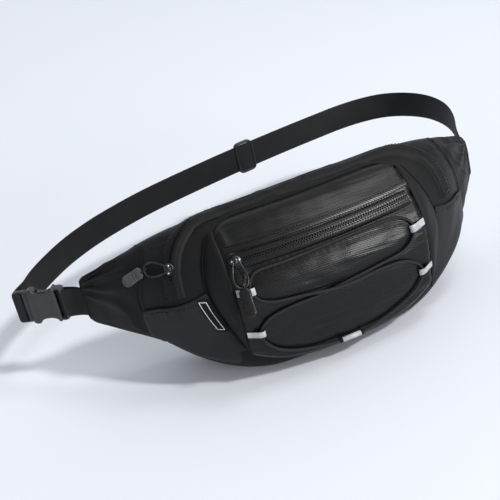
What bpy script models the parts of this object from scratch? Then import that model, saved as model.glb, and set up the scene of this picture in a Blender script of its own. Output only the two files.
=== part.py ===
"""Waist bag with a laced front pocket: a padded bag on a webbing belt with a side-release buckle.

The bag stands on its flat base at z = 0, with the origin in the middle of that base. X runs along
the bag, the front faces -Y and +Z is up. The shapes are worked out from the bag's back plane at
y = 0, and moved together at the end. Every piece is one closed solid, and neighbours keep a gap.
"""

from math import acos, asin, cos, pi, radians, sin, sqrt

import bmesh
import bpy
from mathutils import Matrix, Vector

MM = 0.001
GAP = 0.3 * MM
SKIN_GAP = 0.9 * MM

# Bag
BAG_HALF = 150 * MM
BAG_HEIGHT = 150 * MM
BAG_DEPTH = 72 * MM
DEPTH_FADE = 172 * MM
WAIST_CURVE = 0.95
BELLY = 0.3
BASE_FLAT = 0.02
BACK_TO_ORIGIN = Vector((0, 25 * MM, 0))
FLAT_BASE_HALF = 55 * MM
BASE_RISE = 4.9
TOP_FLAT_HALF = 82 * MM
TOP_DROP = 14 * MM
CREST = 0.5
BACK_FALL_MIDDLE = 6.5 * MM
BACK_FALL_SIDE = 15 * MM
BACK_FALL_TIP = 2 * MM
BACK_FALL_REACH = 115 * MM
BACK_THICK = 7 * MM

# Wings
WING_TIP_X = 203 * MM
WING_TIP_DEPTH = 6 * MM
WING_TIP_TOP = 108 * MM
WING_TIP_BOTTOM = 63 * MM

# Front pocket
PANEL_HALF = 88 * MM
GUSSET_WIDTH = 25 * MM
LEFT_GUSSET = (21 * MM, 1.3)
RIGHT_GUSSET = (26 * MM, 0.85)
POCKET_TOP = 0.965
POCKET_LOW = 0.088
POCKET_EDGE = 2.0 * MM
POCKET_RISE = 16 * MM
GUSSET_LOW = 0.195
GUSSET_HIGH = 0.935
SIDE_PANEL_LOW = 0.16

# Zips
FRONT_ZIP_B = 0.766
FRONT_ZIP_HALF = 84 * MM
FRONT_ZIP_RADIUS = 0.5
TAPE_HALF = 5.5 * MM
TAPE_THICK = 0.8 * MM
COIL_HALF = 2.2 * MM
COIL_THICK = 1.3 * MM
PULL_PIVOT = 3.4 * MM
MAIN_TAB_DROOP = 30

# Lacing
CORD_RADIUS = 1.3 * MM
CORD_LIFT = 1.8 * MM
LOOP_HALF_WIDTH = 2.8 * MM

# Belt
WEB_HALF = 14.7 * MM
WEB_THICK = 1.8 * MM
SHORT_WEB_THICK = 1.5 * MM
FOLD_HALF = WEB_HALF - 0.6 * MM
BELT_Z = 82 * MM
BELT_ARC_CENTRE = (277 * MM, -1134 * MM)
BELT_ARC_RADIUS = 1.4
ADJUSTER_X = 39 * MM

# Buckle, in its own frame: a along the belt outwards, t towards the front, z up
BUCKLE_CENTRE = Vector((-233.5 * MM, 62.5 * MM, BELT_Z))
BUCKLE_AXIS = Vector((-0.853, 0.523, 0)).normalized()
BUCKLE_FRONT = Vector((-0.523, -0.853, 0)).normalized()
UP = Vector((0, 0, 1))


def clear_scene():
    for obj in list(bpy.data.objects):
        bpy.data.objects.remove(obj)


def material(name, colour, roughness, metallic=0.0):
    made = bpy.data.materials.new(name)
    made.use_nodes = True
    shader = made.node_tree.nodes["Principled BSDF"]
    shader.inputs["Base Color"].default_value = (*colour, 1)
    shader.inputs["Roughness"].default_value = roughness
    shader.inputs["Metallic"].default_value = metallic
    return made


def add_mesh(name, points, faces, finish, smooth_angle=40):
    """An object from points and faces, with its faces turned outwards."""
    mesh = bpy.data.meshes.new(name)
    mesh.from_pydata([tuple(point) for point in points], [], faces)
    shape = bmesh.new()
    shape.from_mesh(mesh)
    bmesh.ops.recalc_face_normals(shape, faces=shape.faces)
    shape.to_mesh(mesh)
    shape.free()
    mesh.shade_smooth()
    mesh.set_sharp_from_angle(angle=radians(smooth_angle))
    mesh.materials.append(finish)
    obj = bpy.data.objects.new(name, mesh)
    bpy.context.scene.collection.objects.link(obj)
    return obj


def loft(name, rings, finish, closed=False):
    """A solid through rings of equally many points, capped at both ends unless closed."""
    count = len(rings[0])
    points = [point for ring in rings for point in ring]
    faces = []
    spans = len(rings) if closed else len(rings) - 1
    for i in range(spans):
        near = i * count
        far = (i + 1) % len(rings) * count
        for j in range(count):
            k = (j + 1) % count
            faces.append((near + j, near + k, far + k, far + j))
    if not closed:
        faces.append(tuple(range(count)))
        faces.append(tuple(range((len(rings) - 1) * count, len(rings) * count)))
    return add_mesh(name, points, faces, finish)


def slab(name, low, high, columns, rows, finish):
    """A solid between two surfaces, low(u, v) and high(u, v), over the unit square."""
    rings = []
    for i in range(columns + 1):
        u = i / columns
        front = [high(u, j / rows) for j in range(rows + 1)]
        back = [low(u, j / rows) for j in range(rows, -1, -1)]
        rings.append(front + back)
    return loft_with_strips(name, rings, rows, finish)


def loft_with_strips(name, rings, rows, finish):
    """A loft whose end caps are strips of quads between the front and the back row."""
    count = len(rings[0])
    points = [point for ring in rings for point in ring]
    faces = []
    for i in range(len(rings) - 1):
        for j in range(count):
            k = (j + 1) % count
            faces.append((i * count + j, i * count + k, (i + 1) * count + k, (i + 1) * count + j))
    for start in (0, (len(rings) - 1) * count):
        for j in range(rows):
            back = count - 1 - j
            faces.append((start + j, start + j + 1, start + back - 1, start + back))
    return add_mesh(name, points, faces, finish)


def ribbon(name, points, normals, half_width, low, high, finish, closed=False):
    """A strip of rectangular section: it follows the points, lifted from low to high along the normals."""
    count = len(points)
    rings = []
    for i in range(count):
        if closed:
            ahead, behind = points[(i + 1) % count], points[i - 1]
        else:
            ahead, behind = points[min(i + 1, count - 1)], points[max(i - 1, 0)]
        along = (ahead - behind).normalized()
        side = along.cross(normals[i]).normalized() * half_width
        under = points[i] + normals[i] * low
        over = points[i] + normals[i] * high
        rings.append([under - side, under + side, over + side, over - side])
    return loft(name, rings, finish, closed)


def smooth_path(points, steps, closed=False):
    """A Catmull-Rom curve through tuples of numbers, with so many steps between neighbours."""

    def between(a, b, c, d, t):
        cubic = (3 * b - a - 3 * c + d) * t**3 + (2 * a - 5 * b + 4 * c - d) * t**2
        return 0.5 * (2 * b + (c - a) * t + cubic)

    count = len(points)
    path = []
    for i in range(count if closed else count - 1):
        if closed:
            four = [points[(i + k) % count] for k in (-1, 0, 1, 2)]
        else:
            four = [points[min(max(i + k, 0), count - 1)] for k in (-1, 0, 1, 2)]
        for j in range(steps):
            t = j / steps
            path.append(tuple(between(*values, t) for values in zip(*four)))
    if not closed:
        path.append(tuple(points[-1]))
    return path


def box(name, centre, half, axes, finish, bevel=0.0):
    """A block with bevelled edges: half sizes along three axes."""
    corners = [(i, j, k) for i in (-1, 1) for j in (-1, 1) for k in (-1, 1)]
    points = []
    for corner in corners:
        points.append(centre + sum((axes[n] * (corner[n] * half[n]) for n in range(3)), Vector()))
    faces = [(0, 1, 3, 2), (4, 6, 7, 5), (0, 4, 5, 1), (2, 3, 7, 6), (0, 2, 6, 4), (1, 5, 7, 3)]
    obj = add_mesh(name, points, faces, finish)
    if bevel:
        add_bevel(obj, bevel)
    return obj


def add_bevel(obj, width):
    modifier = obj.modifiers.new("bevel", "BEVEL")
    modifier.width = width
    modifier.segments = 2
    modifier.limit_method = "ANGLE"
    modifier.angle_limit = radians(35)


def cut(obj, cutter):
    """Cuts one object from another, and hides the cutter."""
    cutter.hide_render = True
    cutter.display_type = "WIRE"
    modifier = obj.modifiers.new("cut", "BOOLEAN")
    modifier.operation = "DIFFERENCE"
    modifier.object = cutter


def join(obj, other):
    """Joins another object's solid to this one, and hides the other."""
    other.hide_render = True
    other.display_type = "WIRE"
    modifier = obj.modifiers.new("join", "BOOLEAN")
    modifier.operation = "UNION"
    modifier.object = other


def put_origin(obj, pivot):
    """Moves an object's origin to its pivot, and leaves its shape where it is."""
    obj.data.transform(Matrix.Translation(-pivot))
    obj.location = pivot


# The bag's skin: a place on it is x along the bag and w round the section, from the back at the
# bottom (0) over the belly (0.5) to the back at the top (1). b is the share of the height.


def back_y(x):
    return WAIST_CURVE * x * x


def bottom_z(x):
    if abs(x) > BAG_HALF:
        return wing_blend(x, bottom_z(BAG_HALF), WING_TIP_BOTTOM)
    return BASE_RISE * max(0.0, abs(x) - FLAT_BASE_HALF) ** 2


def top_z(x):
    if abs(x) > BAG_HALF:
        return wing_blend(x, top_z(BAG_HALF), WING_TIP_TOP)
    share = max(0.0, abs(x) - TOP_FLAT_HALF) / (BAG_HALF - TOP_FLAT_HALF)
    return BAG_HEIGHT - TOP_DROP * share**2


def depth(x):
    if abs(x) > BAG_HALF:
        return wing_blend(x, depth(BAG_HALF), WING_TIP_DEPTH)
    return BAG_DEPTH * sqrt(1 - (abs(x) / DEPTH_FADE) ** 5)


def wing_blend(x, start, end):
    return start + (end - start) * (abs(x) - BAG_HALF) / (WING_TIP_X - BAG_HALF)


def section(w):
    """The bag's section: (share of the depth forwards, share of the height). Its base starts flat."""
    if w < 0.5:
        rise = 1 - max(0.0, cos(w * pi)) ** 0.25
        return sin(w * pi) ** 0.4, BELLY * max(0.0, rise * (1 + BASE_FLAT) - BASE_FLAT)
    turn = (1 - w) * pi
    return max(0.0, sin(turn)) ** 0.645, BELLY + (1 - BELLY) * max(0.0, cos(turn)) ** 0.8


def w_at(b):
    """The place round the section at a share b of the height, on the front."""
    if b < BELLY:
        return acos((1 - (b / BELLY + BASE_FLAT) / (1 + BASE_FLAT)) ** 4) / pi
    return 1 - acos(((b - BELLY) / (1 - BELLY)) ** 1.25) / pi


def back_fall(x, forward):
    """How far the top falls behind its crest, towards the back."""
    if abs(x) > BAG_HALF:
        full = wing_blend(x, BACK_FALL_SIDE, BACK_FALL_TIP)
    else:
        share = min(1.0, abs(x) / BACK_FALL_REACH)
        full = BACK_FALL_MIDDLE + (BACK_FALL_SIDE - BACK_FALL_MIDDLE) * share * share * (3 - 2 * share)
    return full * max(0.0, 1 - forward / CREST) ** 2


def shell(x, w):
    forward, high = section(w)
    z = bottom_z(x) + high * (top_z(x) - bottom_z(x))
    if w > 0.5:
        z -= back_fall(x, forward)
    return Vector((x, back_y(x) - forward * depth(x), z))


def skin_normal(x, w):
    step = 0.1 * MM
    along = shell(x + step, w) - shell(x - step, w)
    around = shell(x, min(w + 0.001, 0.999)) - shell(x, max(w - 0.001, 0.001))
    return along.cross(around).normalized()


def skin(x, w, lift=0.0):
    return shell(x, w) + skin_normal(x, w) * lift


def pocket_low(x):
    return POCKET_LOW + 0.085 * (abs(x) / (82 * MM)) ** 3


def pocket_rise(b):
    """How far the front pocket stands off the shell at a share b of the height."""
    share = (POCKET_TOP - b) / (POCKET_TOP - POCKET_LOW)
    if share < 0.45:
        return POCKET_EDGE + POCKET_RISE * sin(max(share, 0.0) / 0.45 * pi / 2)
    return POCKET_EDGE + POCKET_RISE * (1 - 0.55 * ((share - 0.45) / 0.55) ** 2)


def pocket(x, b, lift=0.0):
    return skin(x, w_at(b), pocket_rise(b) + lift)


def pocket_normal(x, b):
    step = 0.002
    along = pocket(x + step, b) - pocket(x - step, b)
    upward = pocket(x, b + step) - pocket(x, b - step)
    return along.cross(upward).normalized()


def gusset_edge(b, side):
    """Half the width of the front to the gusset's outer seam: the left gusset is fullest higher up."""
    width, skew = LEFT_GUSSET if side < 0 else RIGHT_GUSSET
    share = max(0.0, (b - GUSSET_LOW + 0.02) / (GUSSET_HIGH - GUSSET_LOW + 0.04))
    return PANEL_HALF + width * max(0.0, sin(pi * share**skew)) ** 0.7


def make_shell(finish):
    rings = []
    stations = 28
    for i in range(stations + 1):
        x = -BAG_HALF + 2 * BAG_HALF * i / stations
        rings.append([shell(x, j / 26) for j in range(27)])
    return loft("main_shell", rings, finish)


def make_back_panel(finish):
    half = BAG_HALF - 2 * MM

    def surface(lift):
        def place(u, v):
            x = half * (2 * u - 1)
            z = bottom_z(x) + v * (shell(x, 1.0).z - 2 * MM - bottom_z(x))
            return Vector((x, back_y(x) + lift, z))

        return place

    return slab("back_panel", surface(GAP), surface(BACK_THICK), 24, 6, finish)


def make_wing(name, side, finish):
    rings = []
    for i in range(7):
        x = side * (BAG_HALF + GAP + (WING_TIP_X - BAG_HALF - GAP) * i / 6)
        rings.append([shell(x, j / 22) for j in range(23)])
    return loft(name, rings, finish)


def hem_b(x):
    """The side panel's upper hem, as a share of the height."""
    return 0.596 - 0.0042 * (abs(x) / MM - 110)


def make_side_panel(name, side, finish):
    def surface(lift):
        def place(u, v):
            seam_b = SIDE_PANEL_LOW + (hem_b(PANEL_HALF + GUSSET_WIDTH) - SIDE_PANEL_LOW) * v
            inner = gusset_edge(seam_b, side) + 1.5 * MM
            x = inner + (BAG_HALF - 2 * MM - inner) * u
            b = SIDE_PANEL_LOW + (hem_b(x) - SIDE_PANEL_LOW) * v
            return skin(side * x, w_at(b), lift)

        return place

    return slab(name, surface(SKIN_GAP), surface(1.8 * MM), 6, 10, finish)


def make_front_pocket(finish):
    def surface(full):
        def place(u, v):
            x = PANEL_HALF * (2 * u - 1)
            b = pocket_low(x) + (POCKET_TOP - pocket_low(x)) * v
            return pocket(x, b) if full else skin(x, w_at(b), SKIN_GAP)

        return place

    return slab("front_pocket", surface(False), surface(True), 16, 18, finish)


def make_gusset(name, side, finish):
    def surface(full):
        def place(u, v):
            b = GUSSET_LOW + (GUSSET_HIGH - GUSSET_LOW) * v
            outer = gusset_edge(b, side)
            x = side * (PANEL_HALF + GAP + (outer - PANEL_HALF - GAP) * u)
            if not full:
                return skin(x, w_at(b), SKIN_GAP)
            lift = POCKET_EDGE + (pocket_rise(b) - POCKET_EDGE) * cos(u * pi / 2)
            return skin(x, w_at(b), lift)

        return place

    return slab(name, surface(False), surface(True), 5, 12, finish)


def front_zip_frame(x):
    """Point and normal on the front zip's arc, which turns about an upright axis inside the bag."""
    middle = pocket(0, FRONT_ZIP_B)
    normal = pocket_normal(0, FRONT_ZIP_B)
    turn = asin(x / FRONT_ZIP_RADIUS)
    centre = Vector((0, middle.y + FRONT_ZIP_RADIUS, middle.z))
    rotate = Matrix.Rotation(turn, 3, "Z")
    return centre + rotate @ (middle - centre), rotate @ normal


def make_front_zip(tape_finish, coil_finish, welt_finish):
    frames = [front_zip_frame(FRONT_ZIP_HALF * (2 * i / 20 - 1)) for i in range(21)]
    points = [frame[0] for frame in frames]
    normals = [frame[1] for frame in frames]
    ribbon("front_zip_tape", points, normals, TAPE_HALF, 0.4 * MM, 0.4 * MM + TAPE_THICK, tape_finish)
    low = 0.4 * MM + TAPE_THICK + GAP
    ribbon("front_zip_coil", points, normals, COIL_HALF, low, low + COIL_THICK, coil_finish)

    def welt(lift):
        def place(u, v):
            x = PANEL_HALF * 0.985 * (2 * u - 1)
            return pocket(x, 0.815 + 0.028 * v, lift)

        return place

    slab("front_zip_welt", welt(GAP), welt(1.4 * MM), 16, 2, welt_finish)


def main_zip_path():
    """The main zip's middle line: up one side, over the top and down the other, as (x, w)."""
    half = [
        (0.1352, w_at(0.565)),
        (0.1345, w_at(0.66)),
        (0.1325, w_at(0.77)),
        (0.1275, w_at(0.87)),
        (0.1170, w_at(0.945)),
        (0.1000, w_at(0.984)),
        (0.0760, 0.958),
        (0.0400, 0.968),
    ]
    whole = [(-x, w) for x, w in half] + [(0.0, 0.970)] + [(x, w) for x, w in reversed(half)]
    return smooth_path(whole, 4)


def make_main_zip(tape_finish, coil_finish):
    path = main_zip_path()
    points = [shell(x, w) for x, w in path]
    normals = [skin_normal(x, w) for x, w in path]
    ribbon("main_zip_tape", points, normals, TAPE_HALF, 0.6 * MM, 0.6 * MM + TAPE_THICK, tape_finish)
    low = 0.6 * MM + TAPE_THICK + 2 * GAP
    ribbon("main_zip_coil", points, normals, COIL_HALF, low, low + COIL_THICK, coil_finish)


def frame_matrix(origin, along, out):
    """A matrix whose X runs along, Z points out, at this origin."""
    third = out.normalized()
    first = (along - third * along.dot(third)).normalized()
    second = third.cross(first)
    return Matrix.Translation(origin) @ Matrix((first, second, third)).transposed().to_4x4()


def slider_on(name, place, finish):
    """A zip slider: a domed plate along local X, with a bail for the pull on top."""
    half_length, half_width = 5.5 * MM, 4.2 * MM
    outline = []
    for i in range(12):
        turn = 2 * pi * i / 12
        wide = half_width * (1 - 0.25 * cos(turn))
        outline.append((half_length * cos(turn), wide * sin(turn)))
    levels = [(0.0, 0.92), (0.7 * MM, 1.0), (1.7 * MM, 1.0), (2.3 * MM, 0.8)]
    rings = [[place @ Vector((x * scale, y * scale, z)) for x, y in outline] for z, scale in levels]
    body = loft(name, rings, finish)
    bail_low, bail_high = 2.0 * MM, 5.0 * MM
    axes = [place.to_3x3().col[n] for n in range(3)]
    centre = place @ Vector((0, 0, (bail_low + bail_high) / 2))
    half = (1.1 * MM, 3.2 * MM, (bail_high - bail_low) / 2)
    bail = box(name + "_bail", centre, half, axes, finish)
    join(body, bail)
    hole = place @ Vector((0, 0, PULL_PIVOT))
    window = box(name + "_bail_window", hole, (3 * MM, 2.2 * MM, 1.0 * MM), axes, finish)
    cut(body, window)
    return body


def wire_pull(name, place, length, half_width, finish):
    """A pear-shaped wire loop. Local X runs from the pivot to the far end, and Y is the pivot's axis."""
    wire = 0.65 * MM
    outline = [
        (0.0, 0.0),
        (0.45 * MM, 2.0 * MM),
        (length * 0.35, half_width * 0.80),
        (length * 0.70, half_width),
        (length * 0.94, half_width * 0.62),
        (length, 0.0),
    ]
    mirrored = [(x, -y) for x, y in reversed(outline[1:-1])]
    path = [place @ Vector((x, y, 0)) for x, y in smooth_path(outline + mirrored, 4, closed=True)]
    flat = place.to_3x3().col[2]
    count = len(path)
    rings = []
    for i in range(count):
        along = (path[(i + 1) % count] - path[i - 1]).normalized()
        side = along.cross(flat).normalized()
        turns = [2 * pi * j / 6 for j in range(6)]
        rings.append([path[i] + (side * cos(turn) + flat * sin(turn)) * wire for turn in turns])
    return loft(name, rings, finish, closed=True)


def rubber_tab(name, place, length, half_width, thick, finish):
    """A moulded tab along local X with a slot at its near end, which a cord ties to the pull."""
    outline = []
    for i in range(7):
        turn = -pi / 2 + pi * i / 6
        outline.append((length - half_width + half_width * cos(turn), half_width * 0.98 * sin(turn)))
    neck = [(1.5 * MM, half_width * 0.86), (0.0, half_width * 0.6)]
    outline += neck + [(x, -y) for x, y in reversed(neck)]
    levels = [(-thick / 2, 0.9), (-thick / 4, 1.0), (thick / 4, 1.0), (thick / 2, 0.9)]
    middle = length / 2
    rings = [[place @ Vector((middle + (x - middle) * s, y * s, z)) for x, y in outline] for z, s in levels]
    return loft(name, rings, finish)


def make_front_pull(slider_finish, wire_finish, tab_finish):
    x = -FRONT_ZIP_HALF + 1.5 * MM
    point, normal = front_zip_frame(x)
    along = front_zip_frame(x - 1 * MM)[0] - front_zip_frame(x + 1 * MM)[0]
    base = 0.4 * MM + TAPE_THICK + COIL_THICK + 2 * GAP + 0.2 * MM
    place = frame_matrix(point + normal * base, along, normal)
    slider = slider_on("front_zip_slider", place, slider_finish)
    pivot = place @ Vector((0, 0, PULL_PIVOT))
    put_origin(slider, pivot)
    hang = Vector((0.18, -0.54, -1)).normalized()
    axis = along.normalized()
    hang = (hang - axis * hang.dot(axis)).normalized()
    out = axis.cross(hang)
    if out.y > 0:
        out = -out
    pull_place = frame_matrix(pivot, hang, out)
    pull = wire_pull("front_zip_pull", pull_place, 24 * MM, 6.2 * MM, wire_finish)
    put_origin(pull, pivot)
    tab_pivot = pivot + hang * (24 * MM)
    tab_place = frame_matrix(tab_pivot + hang * (1.2 * MM), hang, out)
    tab = rubber_tab("front_zip_tab", tab_place, 25 * MM, 5.6 * MM, 3.4 * MM, tab_finish)
    put_origin(tab, tab_pivot)


def make_main_pull(slider_finish, wire_finish, tab_finish):
    path = main_zip_path()
    index = 9
    x, w = path[index]
    point, normal = shell(x, w), skin_normal(x, w)
    along = shell(*path[index - 1]) - shell(*path[index + 1])
    base = 0.6 * MM + TAPE_THICK + COIL_THICK + 2 * GAP + 0.5 * MM
    place = frame_matrix(point + normal * base, along, normal)
    slider = slider_on("main_zip_slider", place, slider_finish)
    pivot = place @ Vector((0, 0, PULL_PIVOT))
    put_origin(slider, pivot)
    axis = along.normalized()
    hang = Vector((-0.66, 0.265, -0.60))
    hang = (hang - axis * hang.dot(axis)).normalized()
    out = axis.cross(hang)
    if out.dot(normal) < 0:
        out = -out
    pull_place = frame_matrix(pivot, hang, out)
    pull = wire_pull("main_zip_pull", pull_place, 24 * MM, 6.2 * MM, wire_finish)
    put_origin(pull, pivot)
    tab_pivot = pivot + hang * (24 * MM)
    droop = Matrix.Rotation(radians(MAIN_TAB_DROOP), 3, out) @ hang
    tab_place = frame_matrix(tab_pivot + droop * (3.4 * MM), droop, out)
    tab = rubber_tab("main_zip_tab", tab_place, 22 * MM, 5.6 * MM, 3.4 * MM, tab_finish)
    put_origin(tab, tab_pivot)


# The cord's route through the five loops, by hand: x in mm, share of the height, lift in mm.
CORD_ROUTE = [
    (-66, 0.699, 0), (-43, 0.703, 0), (-18, 0.709, 0), (7, 0.713, 0), (30, 0.713, 0), (52, 0.710, 0),
    (66, 0.695, 0), (74, 0.655, 0), (76, 0.612, 0), (72, 0.560, 0), (62, 0.525, 0), (45, 0.513, 0),
    (22, 0.502, 0), (0, 0.489, 0), (-22, 0.474, 0), (-48, 0.465, 0), (-65, 0.440, 0), (-74, 0.392, 0),
    (-76.5, 0.345, 0), (-75, 0.290, 0), (-67, 0.222, 0), (-54, 0.176, 0), (-36, 0.143, 0),
    (-16, 0.128, 1.2), (0, 0.125, 1.6), (16, 0.128, 1.2), (30, 0.143, 0), (49, 0.180, 0),
    (66, 0.232, 0), (75, 0.292, 0), (77, 0.340, 0), (74, 0.392, 0), (65, 0.446, 0), (54, 0.473, 0),
    (35, 0.484, 0.6), (12, 0.482, 3.0), (-3, 0.486, 3.4), (-18, 0.496, 3.0), (-38, 0.508, 0.6),
    (-58, 0.521, 0), (-70, 0.548, 0), (-76, 0.605, 0), (-74, 0.660, 0),
]


def cord_points(steps):
    route = smooth_path(CORD_ROUTE, steps, closed=True)
    return [pocket(x * MM, b, CORD_LIFT + lift * MM) for x, b, lift in route]


def make_cord(finish):
    curve = bpy.data.curves.new("bungee_cord", "CURVE")
    curve.dimensions = "3D"
    curve.bevel_depth = CORD_RADIUS
    curve.bevel_resolution = 2
    curve.use_fill_caps = True
    spline = curve.splines.new("POLY")
    points = cord_points(3)
    spline.points.add(len(points) - 1)
    for target, point in zip(spline.points, points):
        target.co = (*point, 1)
    spline.use_cyclic_u = True
    curve.materials.append(finish)
    obj = bpy.data.objects.new("bungee_cord", curve)
    bpy.context.scene.collection.objects.link(obj)
    return obj


def make_side_loop(name, side, b, cord_x, finish):
    """A folded tape from the panel's side seam, arched over the cord."""
    profile = [
        (PANEL_HALF - 0.8 * MM, 0.35), (PANEL_HALF - 4 * MM, 0.6), (cord_x + 3.6 * MM, 2.6),
        (cord_x + 1.6 * MM, 3.5), (cord_x - 0.8 * MM, 3.6),
        (cord_x - 2.6 * MM, 2.9), (cord_x - 3.6 * MM, 1.4),
    ]
    spread = LOOP_HALF_WIDTH / BAG_HEIGHT

    def surface(extra):
        def place(u, v):
            x, lift = profile[round(u * (len(profile) - 1))]
            return pocket(side * x, b + spread * (2 * v - 1), (lift + extra) * MM)

        return place

    return slab(name, surface(0), surface(0.7), len(profile) - 1, 2, finish)


def make_bottom_loop(finish):
    """A tape rolled round the cord at the bottom of the pocket, open at both ends."""
    inner, outer, half = CORD_RADIUS + 0.35 * MM, CORD_RADIUS + 1.15 * MM, 9 * MM
    count = 12
    rings = []
    for radius, x in ((outer, -half), (outer, half), (inner, half), (inner, -half)):
        centre = pocket(x, 0.1255, CORD_LIFT + 1.55 * MM)
        out = pocket_normal(x, 0.1255)
        up = Vector((1, 0, 0)).cross(out)
        turns = [2 * pi * j / count for j in range(count)]
        rings.append([centre + (out * cos(turn) + up * sin(turn)) * radius for turn in turns])
    return loft("loop_bottom", rings, finish, closed=True)


def make_label(finish):
    """A blank woven label that is sewn into the left pocket seam."""

    def surface(lift):
        def place(u, v):
            b = 0.325 + 0.235 * u
            x = gusset_edge(b, -1) + 1.8 * MM + 10 * MM * v
            return skin(-x, w_at(b), lift)

        return place

    return slab("side_label", surface(2.2 * MM), surface(2.9 * MM), 8, 3, finish)


def belt_path():
    """The belt's middle line seen from above, from the right wing round the back to the buckle."""
    right = [(205.5, 42), (222, 84), (243, 127), (253, 164), (252, 200), (240, 229), (220, 250), (194, 259.5)]
    left = [(-90, 216.5), (-122, 204.5), (-158, 187), (-190, 165), (-216, 140), (-236, 116), (-246.8, 98.4)]
    cx, cy = BELT_ARC_CENTRE
    arc = []
    for i in range(10):
        x = 165 * MM - 225 * MM * i / 9
        arc.append((x / MM, (cy + sqrt(BELT_ARC_RADIUS**2 - (x - cx) ** 2)) / MM))
    return [Vector((x * MM, y * MM, BELT_Z)) for x, y in smooth_path(right + arc + left, 3)]


def outward_normals(points):
    normals = []
    for i in range(len(points)):
        along = points[min(i + 1, len(points) - 1)] - points[max(i - 1, 0)]
        normals.append(UP.cross(along).normalized())
    return normals


def make_belt(finish):
    points = belt_path()
    half = WEB_THICK / 2
    return ribbon("belt_webbing", points, outward_normals(points), WEB_HALF, -half, half, finish)


def buckle_place(a, t, z=0.0):
    return BUCKLE_CENTRE + BUCKLE_AXIS * a + BUCKLE_FRONT * t + UP * z


def make_belt_end(finish):
    """The belt's last stretch, folded round the plug's bar."""
    outside = [(29.9, -23.2), (32.4, -9), (32.6, -1), (32.0, 2.5), (29.2, 4.2)]
    inside = [(26.2, 2.8), (25.6, -1), (25.8, -7), (26.8, -13)]
    points = [buckle_place(a * MM, t * MM) for a, t in smooth_path(outside + inside, 3)]
    half = WEB_THICK / 2
    return ribbon("belt_buckle_end", points, outward_normals(points), FOLD_HALF, -half, half, finish)


def make_left_webbing(finish):
    """The short webbing from the left wing, folded round the socket's bar."""
    back = [(-32.5, -1.3), (-24, -2.4), (-18.5, -3.4), (-14.9, -3.3), (-12.9, -1.2), (-12.9, 1.2)]
    front = [(-14.9, 3.3), (-18.5, 3.4), (-24, 2.4), (-32.5, 1.3)]
    points = [buckle_place(a * MM, t * MM) for a, t in smooth_path(back + front, 2)]
    half = SHORT_WEB_THICK / 2
    return ribbon("left_webbing", points, outward_normals(points), FOLD_HALF, -half, half, finish)


def buckle_box(name, a_range, t_range, z_range, finish, bevel=0.0):
    middle = [(low + high) / 2 * MM for low, high in (a_range, t_range, z_range)]
    half = [(high - low) / 2 * MM for low, high in (a_range, t_range, z_range)]
    return box(name, buckle_place(*middle), half, (BUCKLE_AXIS, BUCKLE_FRONT, UP), finish, bevel)


def make_socket(finish):
    socket = buckle_box("buckle_socket", (-18, 18), (-5.5, 5.5), (-18, 18), finish, 1.6 * MM)
    cut(socket, buckle_box("socket_cavity", (-7, 25), (-3.3, 3.3), (-14.9, 14.9), finish))
    cut(socket, buckle_box("socket_slot", (-15.9, -10.3), (-9, 9), (-14.9, 14.9), finish))
    cut(socket, buckle_box("socket_bar_front", (-21, -13), (2.0, 9), (-14.9, 14.9), finish))
    cut(socket, buckle_box("socket_bar_back", (-21, -13), (-9, -2.0), (-14.9, 14.9), finish))
    for name, low, high in (("upper", 12, 25), ("lower", -25, -12)):
        cut(socket, buckle_box("socket_window_" + name, (-5, 9), (-3.3, 3.3), (low, high), finish))
        add_thumb_scoop(socket, name, low < 0, finish)
    return socket


def add_thumb_scoop(socket, name, below, finish):
    """A round scoop through the socket's edge, where a thumb presses the prong."""
    side = -1 if below else 1
    radius, depth_in, count = 11 * MM, 4.5 * MM, 20
    centre_z = side * (18 * MM - depth_in + radius)
    rings = []
    for t in (-9 * MM, 9 * MM):
        ring = []
        for j in range(count):
            turn = 2 * pi * j / count
            ring.append(buckle_place(2 * MM + radius * cos(turn), t, centre_z + radius * sin(turn)))
        rings.append(ring)
    cut(socket, loft("socket_scoop_" + name, rings, finish))


def make_plug(finish):
    plug = buckle_box("buckle_plug", (18.4, 31), (-2.5, 2.5), (-16.5, 16.5), finish, 0.9 * MM)
    cut(plug, buckle_box("plug_slot", (23.6, 27.6), (-9, 9), (-14.9, 14.9), finish))
    join(plug, buckle_box("plug_tongue", (-1, 19.5), (-1.4, 1.4), (-2.6, 2.6), finish))
    return plug


def make_prong(name, side, finish):
    """A springy arm with a thick head that shows in the socket's side window."""
    inner = [(17.8, 9.4), (8, 9.8), (-4, 8.6), (-4.6, 10.5)]
    outline = inner + [(-3.5, 14.0), (7.6, 14.5), (8.6, 12.6), (17.8, 12.6)]
    thick = 2.4 * MM
    rings = [[buckle_place(a * MM, t, side * z * MM) for a, z in outline] for t in (-thick, thick)]
    prong = loft(name, rings, finish)
    put_origin(prong, buckle_place(17.8 * MM, 0, side * 11 * MM))
    return prong


def make_adjuster(finish):
    """A three-bar slide on the belt: the outer bars lie inside the loop, the middle bar outside it."""
    cx, cy = BELT_ARC_CENTRE
    reach = sqrt(BELT_ARC_RADIUS**2 - (ADJUSTER_X - cx) ** 2)
    centre = Vector((ADJUSTER_X, cy + reach, BELT_Z))
    out = Vector((ADJUSTER_X - cx, reach, 0)).normalized()
    along = UP.cross(out)
    axes = (along, out, UP)
    frame = box("belt_adjuster", centre, (11.5 * MM, 2.9 * MM, 18.4 * MM), axes, finish, 1.2 * MM)
    cut(frame, box("adjuster_way", centre, (15 * MM, 1.5 * MM, 15.4 * MM), axes, finish))
    for name, shift in (("near", -6 * MM), ("far", 6 * MM)):
        place = centre + along * shift + out * 3 * MM
        cut(frame, box("adjuster_" + name, place, (3 * MM, 3 * MM, 15.4 * MM), axes, finish))
    place = centre - out * 3 * MM
    cut(frame, box("adjuster_front", place, (7.6 * MM, 3 * MM, 15.4 * MM), axes, finish))
    return frame


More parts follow.
